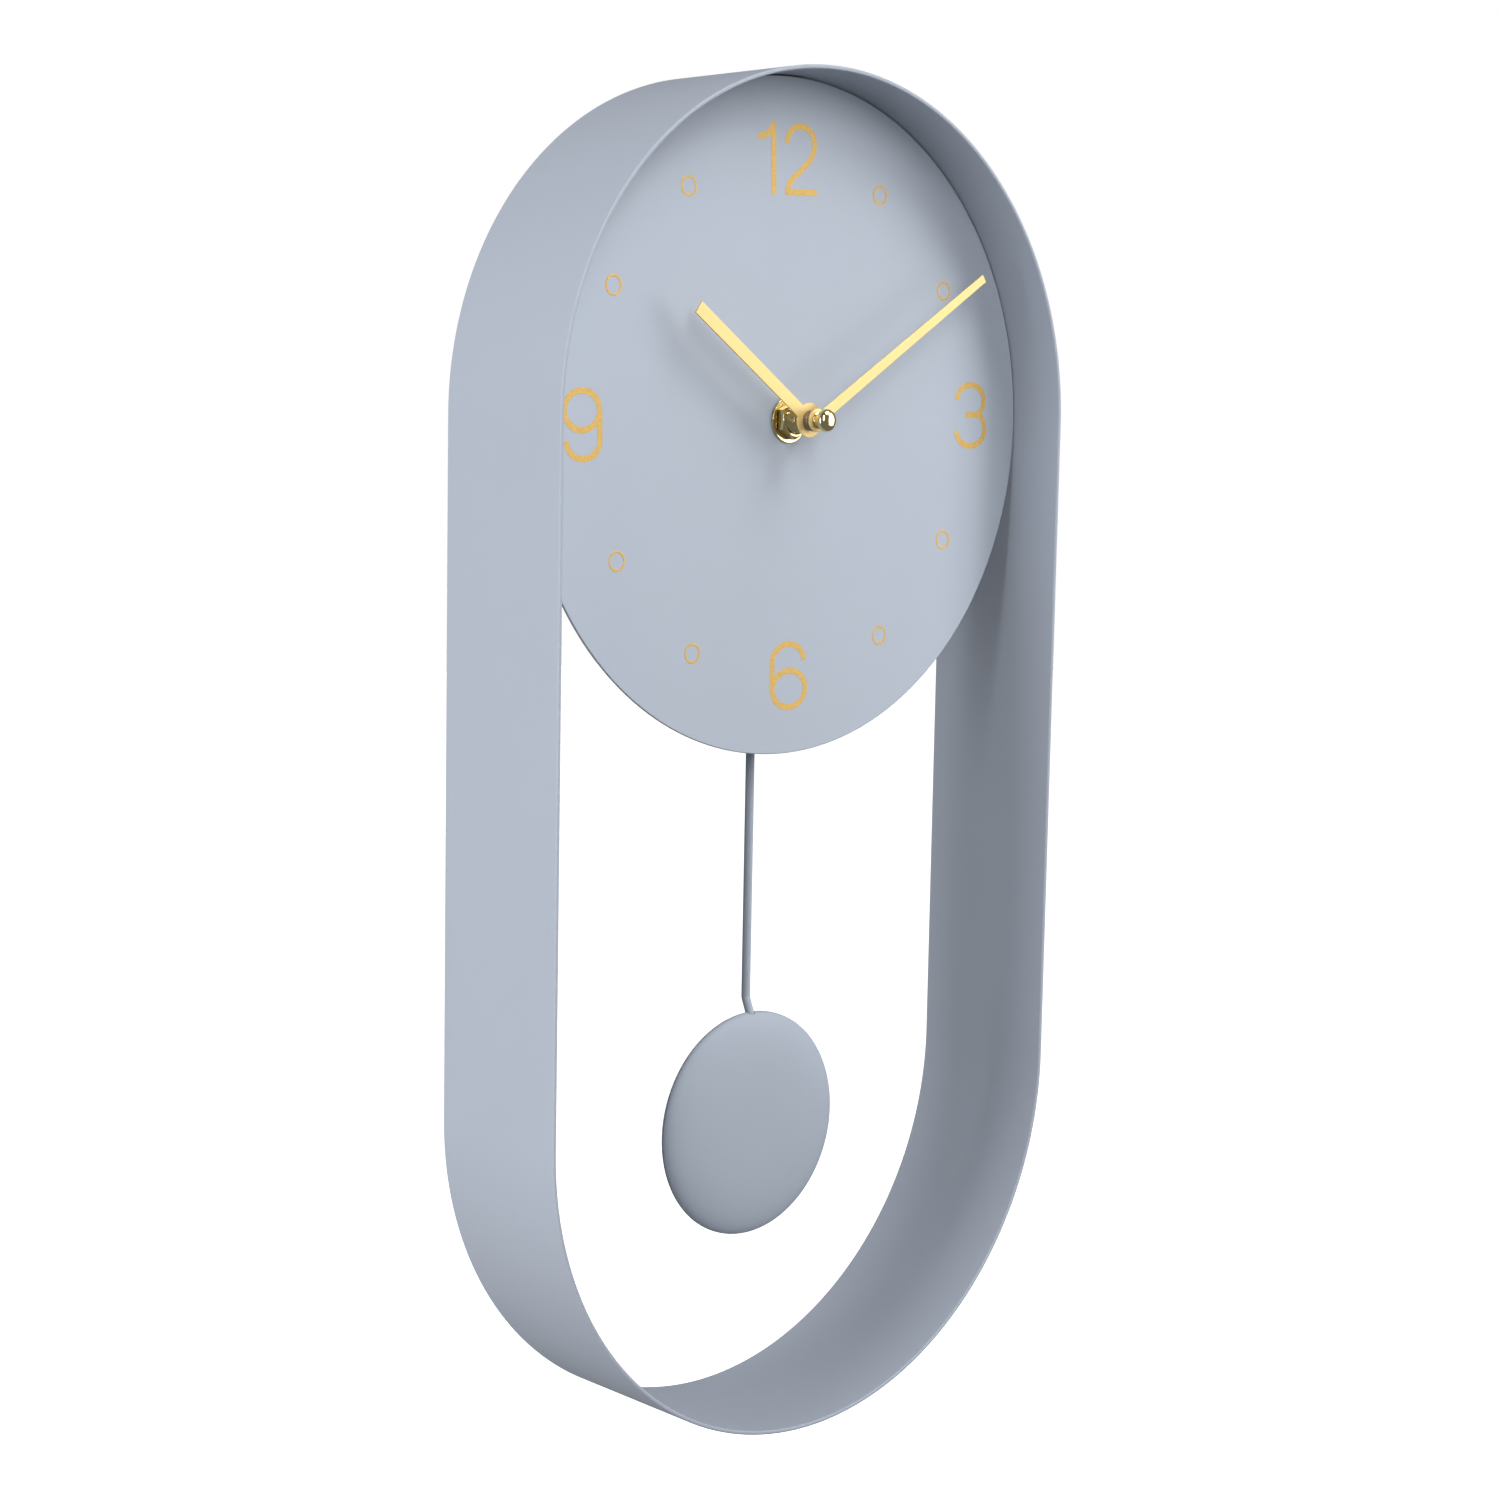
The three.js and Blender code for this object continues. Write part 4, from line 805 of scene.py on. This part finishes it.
class CLOCK_OT_print(PieceOperator, bpy.types.Operator):
    """Prints the dial: each numeral is ink along its centre lines, and each other hour a thin ring"""

    bl_idname = "clock.print"
    bl_label = "Numerals and rings"

    def execute(self, context):
        case = context.scene.clock_case
        ink = gold_ink("printed_gold_ink", case.ink)
        sunk, ink_height, order_step, climb = 0.02, 0.04, 0.004, 0.012
        low, high = DIAL_FACE + sunk, DIAL_FACE - ink_height
        for hour, (lines, radius) in NUMERALS.items():
            shapes = []
            for order, line in enumerate(lines()):
                upright = np.asarray(line, float) * case.numeral_height / DRAWN_HEIGHT
                placed = self.on_dial(upright + radius * self.towards(hour), case)
                shapes.append(ribbon(placed, case.stroke, low, high - order_step * order, -climb))
            finish_piece("numeral_%d" % hour, closed_mesh("numeral_%d" % hour, together(shapes)), ink, "case")
        inner, outer = case.ring_size / 2 - case.ring_stroke, case.ring_size / 2
        ring = [(inner, low), (inner, high), (outer, high), (outer, low)]
        profile = rounded(ring, [0, 0.02, 0.02, 0], steps=2)
        rings = []
        for hour in (1, 2, 4, 5, 7, 8, 10, 11):
            x, z = self.on_dial(case.ring_radius * self.towards(hour), case)
            rings.append(turned(*profile.T, (x, z), sides=64))
        finish_piece("hour_rings", closed_mesh("hour_rings", together(rings)), ink, "case")
        return {"FINISHED"}

    def towards(self, hour):
        """One millimetre from the middle towards an hour."""
        return np.array([math.sin(hour / 12 * TAU), math.cos(hour / 12 * TAU)])

    def on_dial(self, points, case):
        """Points (x, z) of the print, turned as the print is and set about the hands' axis."""
        cosine, sine = math.cos(case.print_turn), math.sin(case.print_turn)
        return points @ np.array([[cosine, sine], [-sine, cosine]]) + HANDS_AXIS[[0, 2]]


class CLOCK_OT_hub(PieceOperator, bpy.types.Operator):
    """Makes the threaded bushing, its chamfered nut and the washer on the dial: turned surfaces whose radius
    also changes with the angle, as a thread does along a helix and a hexagon does round its sides"""

    bl_idname = "clock.hub"
    bl_label = "Bushing, nut and washer"

    def execute(self, context):
        self.bushing()
        self.nut()
        stand_in("dial_washer", "washer", round_bushing("dial_washer", [0.08, 0.2, 0.1, 0.08], 128))
        return {"FINISHED"}

    def bushing(self):
        """The thread's depth rises and falls once a pitch along the axis, and moves on one pitch a turn."""
        front, back = layer("dial_bushing")
        flange = half_width("dial_bushing")
        outer, flange_front = flange - FLANGE_REACH, back - FLANGE_SHEET
        bore, bore_edge, chamfer = outer - BUSHING_WALL, 0.2, 0.35
        pitch, depth, run_in, sides = 0.75, 0.42, 0.3, 96
        rows = np.linspace(front + chamfer, flange_front, 150)
        turn = (rows[:, None] / pitch + np.arange(sides) / sides) % 1
        fade = np.clip((rows - rows[0]) / run_in, 0, 1)[:, None]
        thread = outer - depth * fade * (1 - np.abs(2 * turn - 1))
        inside = [(bore, back), (bore, front + bore_edge)]
        inside += [(bore + bore_edge, front), (outer - chamfer, front)]
        behind = [(flange, flange_front), (flange, back)]
        radius = np.concatenate([plain_rows(inside, sides), thread, plain_rows(behind, sides)])
        along = np.concatenate([[y for _, y in inside], rows, [y for _, y in behind]])
        shape = turned(radius, along, HANDS_AXIS, sides=sides)
        stand_in("dial_bushing", "threaded_bushing", shape, crease=50)

    def nut(self):
        """Each row is the smaller of the hexagon's radius at that angle and the chamfer's at that depth."""
        front, back = layer("dial_nut")
        hole, tip, sides = hole_round_bushing(), half_width("dial_nut"), 144
        edge, chamfer, rise, under = 0.15, 0.25, 0.5, 0.4
        flat = tip * math.cos(math.pi / 6)
        from_corner = (np.arange(sides) / sides * TAU + math.pi / 6) % (math.pi / 3) - math.pi / 6
        hexagon = flat / np.cos(math.pi / 6 - np.abs(from_corner))[None, :]
        cone = np.linspace(flat - chamfer, tip + 0.02, 12)
        chamfered = np.minimum(cone[:, None], hexagon)
        bored = [(hole, back), (hole, front + edge), (hole + edge, front)]
        radius = np.concatenate([plain_rows(bored, sides), chamfered, hexagon, hexagon - under])
        depth = front + (cone - cone[0]) * rise
        along = np.concatenate([[y for _, y in bored], depth, [back - edge, back]])
        shape = turned(radius, along, HANDS_AXIS, sides=sides)
        stand_in("dial_nut", "hexagon_nut", shape, crease=24)


class CLOCK_OT_hands(PieceOperator, bpy.types.Operator):
    """Makes the two hands: a round hub with a bore and a straight blade with a square tip, turned in place"""

    bl_idname = "clock.hands"
    bl_label = "Hands"

    hubs = {"hour": (5.0, 2.5), "minute": (3.4, 1.4)}  # radius and bore
    edge = 0.09

    def execute(self, context):
        hands = context.scene.clock_hands
        self.hand("hour", hands.hour_root, hands.hour_tip)
        self.hand("minute", hands.minute_root, hands.minute_tip)
        return {"FINISHED"}

    def hand(self, which, root, tip):
        """The outline runs round the hub from one side of the blade to the other, to the tip and back."""
        node, (hub, bore) = which + "_hand", self.hubs[which]
        turn, length = reach(node, HANDS_AXIS)
        side = math.asin(root / 2 / hub)
        angle = np.linspace(side, TAU - side, 72)
        round_hub = hub * np.stack([np.sin(angle), np.cos(angle)], axis=-1)
        climb = np.linspace(0, 1, 40)[1:, None]
        left = round_hub[-1] + climb * (np.array([-tip / 2, length]) - round_hub[-1])
        outline = np.concatenate([round_hub, left, left[::-1] * [-1, 1]])[:-1]
        cosine, sine = math.cos(turn), math.sin(turn)
        spun = outline @ np.array([[cosine, -sine], [sine, cosine]])
        shape = plate(spun, *layer(node), HANDS_AXIS, bore)
        hole = on_circle(outline, bore)
        along = np.concatenate([hole, outline, outline, hole])[:, ::-1] * MM
        stand_in(node, node + "_blade", shape, uv=along, bevel=self.edge)


class CLOCK_OT_caps(PieceOperator, bpy.types.Operator):
    """Makes the collar between the hands and the round cap nut that holds them: turned profiles"""

    bl_idname = "clock.caps"
    bl_label = "Collar and cap nut"

    def execute(self, context):
        front, back = layer("minute_collar")
        rim, bore, third = half_width("minute_collar"), 1.9, (back - front) / 3
        face, neck = rim - 0.25, rim - 0.15
        outline = [(bore, front), (face, front), (neck, front + third), (rim, front + third)]
        outline += [(rim, back - third), (neck, back - third), (face, back), (bore, back)]
        profile = rounded(outline, [0, 0.15, 0.04, 0.12, 0.12, 0.04, 0.15, 0])
        grey = plain_turned_steel("turned_collar_steel", context.scene.clock_hands.collar)
        stand_in("minute_collar", "collar", turned(*profile.T, HANDS_AXIS), grey)
        self.cap()
        return {"FINISHED"}

    def cap(self):
        """The ball's radius goes as the three-quarter power of the sine, which flattens its nose, down to a
        neck with a small foot."""
        front, back = layer("cap_nut")
        radius, length = half_width("cap_nut"), back - front
        middle, bore_end = back - 0.62 * length, front + 0.45 * length
        under_ball, neck, foot, bore = 2.25, 2.15, 2.4, 1.25
        angle = np.linspace(0, math.pi * 0.74, 36)
        ball = np.stack([radius * np.sin(angle) ** 0.75, middle - np.cos(angle) * (middle - front)], axis=-1)
        stem = [(under_ball, ball[-1, 1] + 0.25), (neck, back - 0.35), (foot, back - 0.2), (foot, back)]
        hollow = [(bore, back), (bore, bore_end), (0, bore_end)]
        profile = np.concatenate([ball, stem, hollow])
        stand_in("cap_nut", "round_cap", turned(*profile.T, HANDS_AXIS, closed=False))


class CLOCK_OT_pendulum(PieceOperator, bpy.types.Operator):
    """Makes the pendulum: a bent rod swept along its line, and a disc of two pressed domes that meet at the
    rim"""

    bl_idname = "clock.pendulum"
    bl_label = "Pendulum"

    def execute(self, context):
        self.rod(context.scene.clock_pendulum)
        self.disc(context.scene.clock_pendulum)
        broken_edges("pendulum_rocker", "rocker", 0.2)
        return {"FINISHED"}

    def rod(self, pendulum):
        """Corners of the rod's line in its own plane, each rounded: hook, jog, long straight, jog into the
        disc."""
        low, high = corners("pendulum_rod")
        radius, eye = half_width("pendulum_rod"), high[2] - half_width("pendulum_rod")
        rim = corners("bob_front")[1][2]
        hook_front, hook_back = ROD_DEPTH - 3.4, ROD_DEPTH + 3.4
        front_leg, back_leg, jog_end, second_jog, cover = 4.5, 6.5, 11.5, 4.4, 0.2
        line = [(hook_front, eye - front_leg), (hook_front, eye)]
        line += [(hook_back, eye), (hook_back, eye - back_leg)]
        line += [(ROD_DEPTH, eye - jog_end), (ROD_DEPTH, rim + second_jog)]
        line += [(DISC_DEPTH, rim - cover), (DISC_DEPTH, low[2])]
        course = rounded(line, [0] + 6 * [pendulum.bend] + [0], steps=8)
        stand_in("pendulum_rod", "rod", swept(course, radius, HANDS_AXIS[0]))

    def disc(self, pendulum):
        """Height above the rim's plane is the full height times the root of one less a power of the radius
        share."""
        notch_play, notch_below, notch_above = 0.15, 12, 8
        notch = half_width("pendulum_rod") + notch_play
        share = np.sin(np.linspace(0, math.pi / 2, 40))
        dome = (1 - share**pendulum.edge_power) ** 0.5
        for node, name, facing in (("bob_front", "disc_front", -1), ("bob_back", "disc_back", 1)):
            low, high = corners(node)
            radius, height = (high[0] - low[0]) / 2, high[1] - low[1]
            plane = high[1] if facing < 0 else low[1]
            centre = (low + high) / 2
            centre[2] = low[2] + radius
            outside = np.stack([radius * share, plane + facing * height * dome], axis=-1)
            inner_radius, inner_height = radius - pendulum.sheet, height - pendulum.sheet
            inside = np.stack([inner_radius * share, plane + facing * inner_height * dome], axis=-1)
            profile = np.concatenate([outside, inside[::-1]])
            shape = turned(*profile.T, centre, sides=160, closed=False)
            piece = stand_in(node, name, shape)
            low_cut, high_cut = centre[2] + radius - notch_below, centre[2] + radius + notch_above
            bar = [(0, low_cut), (notch, low_cut), (notch, high_cut), (0, high_cut)]
            cut_away(piece, turned(*zip(*bar), [centre[0], DISC_DEPTH, 0], "z", 40, False))


def cut_away(piece, shape):
    """Cuts a closed shape out of a piece's mesh, before its own modifiers."""
    cutter = added("cutter", closed_mesh("cutter", shape))
    blank = added("blank", piece.data)
    cut = blank.modifiers.new("cut", "BOOLEAN")
    cut.operation, cut.solver, cut.object = "DIFFERENCE", "EXACT", cutter
    bpy.context.view_layer.update()
    result = bpy.data.meshes.new_from_object(blank.evaluated_get(bpy.context.evaluated_depsgraph_get()))
    result.name = piece.name
    piece.data = result
    for spare in (blank, cutter):
        bpy.data.objects.remove(spare)
    shaded(result)


class CLOCK_OT_movement(PieceOperator, bpy.types.Operator):
    """Finishes the case's flat pieces and the movement's mouldings from the frame's own solids: doubles
    merged, flat faces joined, edges broken"""

    bl_idname = "clock.movement"
    bl_label = "Movement, brackets and hanger"

    edges = {
        "hanger_bar": ("hanger", 0.3),
        "dial_bracket_top": ("bracket_top", 0.25),
        "dial_bracket_left": ("bracket_left", 0.25),
        "dial_bracket_right": ("bracket_right", 0.25),
        "movement_case": ("movement_shell", 0.25),
        "movement_cover": ("movement_lid", 0.3),
        "movement_gasket": ("gasket", 0.15),
        "set_knob": ("setting_knob", 0.2),
        "contact_plus": ("cell_contact_plus", 0.08),
        "contact_minus": ("cell_contact_minus", 0.08),
        **{"cover_screw_%d" % number: ("lid_screw_%d" % number, 0.12) for number in (1, 2, 3, 4)},
    }

    def execute(self, context):
        for node, (name, width) in self.edges.items():
            broken_edges(node, name, width)
        return {"FINISHED"}


class CLOCK_OT_cell(PieceOperator, bpy.types.Operator):
    """Makes the battery cell: a turned can with crimped shoulders, and its raised button"""

    bl_idname = "clock.cell"
    bl_label = "Battery cell"

    def execute(self, context):
        low, high = corners("battery_cell")
        centre, radius = (low + high) / 2, (high[0] - low[0]) / 2
        button, button_height, dish = 2.75, 1.2, 0.3
        top, bottom = high[2] - button_height, low[2]
        foot = [(0, bottom), (radius - 1.2, bottom), (radius - 0.9, bottom + 0.35), (radius, bottom + 0.5)]
        shoulder = [(radius, top - 0.6), (radius - 0.5, top), (radius - 1.4, top), (radius - 1.6, top - dish)]
        end = [(button + 0.45, top - dish), (button, top), (button, high[2]), (0, high[2])]
        corner_radii = [0, 0.2, 0.1, 0.3, 0.3, 0.25, 0.1, 0.1, 0.1, 0.15, 0.35, 0]
        profile = rounded(foot + shoulder + end, corner_radii)
        stand_in("battery_cell", "cell", turned(*profile.T, centre, "z", 96, False))
        return {"FINISHED"}


class CLOCK_OT_works(PieceOperator, bpy.types.Operator):
    """Gives every frame node that still shows the material of its slot"""

    bl_idname = "clock.works"
    bl_label = "Wheels, motor and circuit"

    def execute(self, context):
        for node, piece in frame["nodes"].items():
            if not piece.hide_render:
                piece.data.materials.clear()
                piece.data.materials.append(finish(slot_of(node)))
        return {"FINISHED"}


class CLOCK_OT_stage(PieceOperator, bpy.types.Operator):
    """Makes the pale floor, the soft studio light and the camera"""

    bl_idname = "clock.stage"
    bl_label = "Floor, light and camera"

    lamps = {  # place, then width and height
        "key": ((1.1, -1.04, 0.16), (0.8, 1.4)),
        "window": ((-0.55, -1.2, 0.4), (0.35, 1.0)),
        "side": ((-1.6, -0.025, -0.1), (0.6, 1.3)),
        "top": ((0.45, -0.85, 1.15), (0.8, 0.8)),
    }

    def execute(self, context):
        stage = context.scene.clock_stage
        self.floor(stage)
        self.room(context.scene, stage)
        for name, (place, spread) in self.lamps.items():
            self.lamp(name, place, spread, getattr(stage, name))
        self.camera(context.scene, stage)
        context.scene.view_settings.view_transform = "Standard"
        return {"FINISHED"}

    def floor(self, stage):
        low, reach_out = CAD_BOX[0][2] - stage.drop, 6.0
        around = [(x * reach_out, y * reach_out, low) for x, y in ((-1, -1), (1, -1), (1, 1), (-1, 1))]
        mesh = bpy.data.meshes.new("floor")
        mesh.from_pydata(around, [], [(0, 1, 2, 3)])
        mesh.materials.append(studio_paper("white_studio_paper", (0.93, 0.93, 0.93)))
        floor = added("floor", mesh)
        # the paper shows, but throws no light up at the clock
        floor.visible_diffuse = floor.visible_glossy = False

    def room(self, scene, stage):
        """An even white room; what the camera sees of it directly is pure white."""
        world = bpy.data.worlds.new("white_room")
        world.use_nodes = True
        tree = world.node_tree
        tree.nodes.clear()
        path = add_node(tree, "ShaderNodeLightPath")
        seen = add_node(tree, "ShaderNodeBackground", {"Color": (1, 1, 1, 1), "Strength": 1.0})
        light = add_node(tree, "ShaderNodeBackground", {"Color": (0.97, 0.985, 1, 1), "Strength": stage.fill})
        both = add_node(
            tree, "ShaderNodeMixShader",
            {0: path.outputs["Is Camera Ray"], 1: light.outputs["Background"], 2: seen.outputs["Background"]},
        )
        add_node(tree, "ShaderNodeOutputWorld", {"Surface": both.outputs["Shader"]})
        scene.world = world

    def lamp(self, name, place, spread, power):
        """A soft light of some width and height that looks at the middle of the clock."""
        light = bpy.data.lights.new(name, "AREA")
        light.shape, light.energy = "RECTANGLE", power
        light.size, light.size_y = spread
        lamp = added(name, light)
        middle = (np.array(CAD_BOX[0]) + np.array(CAD_BOX[1])) / 2
        back = np.array(place) - middle
        back /= np.linalg.norm(back)
        side = np.cross((0, 0, 1), back)
        side /= np.linalg.norm(side)
        lamp.matrix_world = facing_matrix(side, np.cross(back, side), back, place)

    def camera(self, scene, stage):
        """The camera's sight line from its turn about Z, its pitch and its roll."""
        yaw, pitch, roll, place = 0.7479, -0.1167, 0.0189, (-0.5688, -0.6310, -0.0606)
        ahead = np.array([math.sin(yaw) * math.cos(pitch), math.cos(yaw) * math.cos(pitch), math.sin(pitch)])
        right = np.array([math.cos(yaw), -math.sin(yaw), 0.0])
        up = np.cross(right, ahead)
        across = math.cos(roll) * right + math.sin(roll) * up
        over = math.cos(roll) * up - math.sin(roll) * right
        data = bpy.data.cameras.new("camera")
        data.lens, data.sensor_width = stage.lens, 36
        camera = added("camera", data)
        camera.matrix_world = facing_matrix(across, over, -ahead, place)
        scene.camera = camera


def facing_matrix(x_axis, y_axis, z_axis, place):
    """A 4 by 4 place from three axes and a point."""
    matrix = np.eye(4)
    matrix[:3, 0], matrix[:3, 1], matrix[:3, 2], matrix[:3, 3] = x_axis, y_axis, z_axis, place
    return Matrix(matrix.tolist())


OPERATORS = (
    CLOCK_OT_band,
    CLOCK_OT_dial,
    CLOCK_OT_print,
    CLOCK_OT_hub,
    CLOCK_OT_hands,
    CLOCK_OT_caps,
    CLOCK_OT_pendulum,
    CLOCK_OT_movement,
    CLOCK_OT_cell,
    CLOCK_OT_works,
    CLOCK_OT_stage,
)
SETTINGS = {
    "clock_case": CaseSettings,
    "clock_hands": HandSettings,
    "clock_pendulum": PendulumSettings,
    "clock_movement": MovementSettings,
    "clock_stage": StageSettings,
}


class CLOCK_PT_panel(bpy.types.Panel):
    """Lists the clock's settings and its pieces"""

    bl_idname = "CLOCK_PT_panel"
    bl_label = "Pendulum wall clock"
    bl_space_type = "VIEW_3D"
    bl_region_type = "UI"
    bl_category = "Clock"

    def draw(self, context):
        for group, kind in SETTINGS.items():
            box = self.layout.box()
            for key in kind.__annotations__:
                box.prop(getattr(context.scene, group), key)
        for operator in OPERATORS:
            self.layout.operator(operator.bl_idname)


def register():
    """Registers the settings, the operators and the panel."""
    for kind in (*SETTINGS.values(), *OPERATORS, CLOCK_PT_panel):
        bpy.utils.register_class(kind)
    for group, kind in SETTINGS.items():
        setattr(bpy.types.Scene, group, PointerProperty(type=kind))


def unregister():
    """Takes away what register added."""
    for group in SETTINGS:
        delattr(bpy.types.Scene, group)
    for kind in reversed((*SETTINGS.values(), *OPERATORS, CLOCK_PT_panel)):
        bpy.utils.unregister_class(kind)


def main():
    """Makes every piece in order."""
    register()
    for operator in OPERATORS:
        group, name = operator.bl_idname.split(".")
        getattr(getattr(bpy.ops, group), name)()


if __name__ == "__main__":
    main()
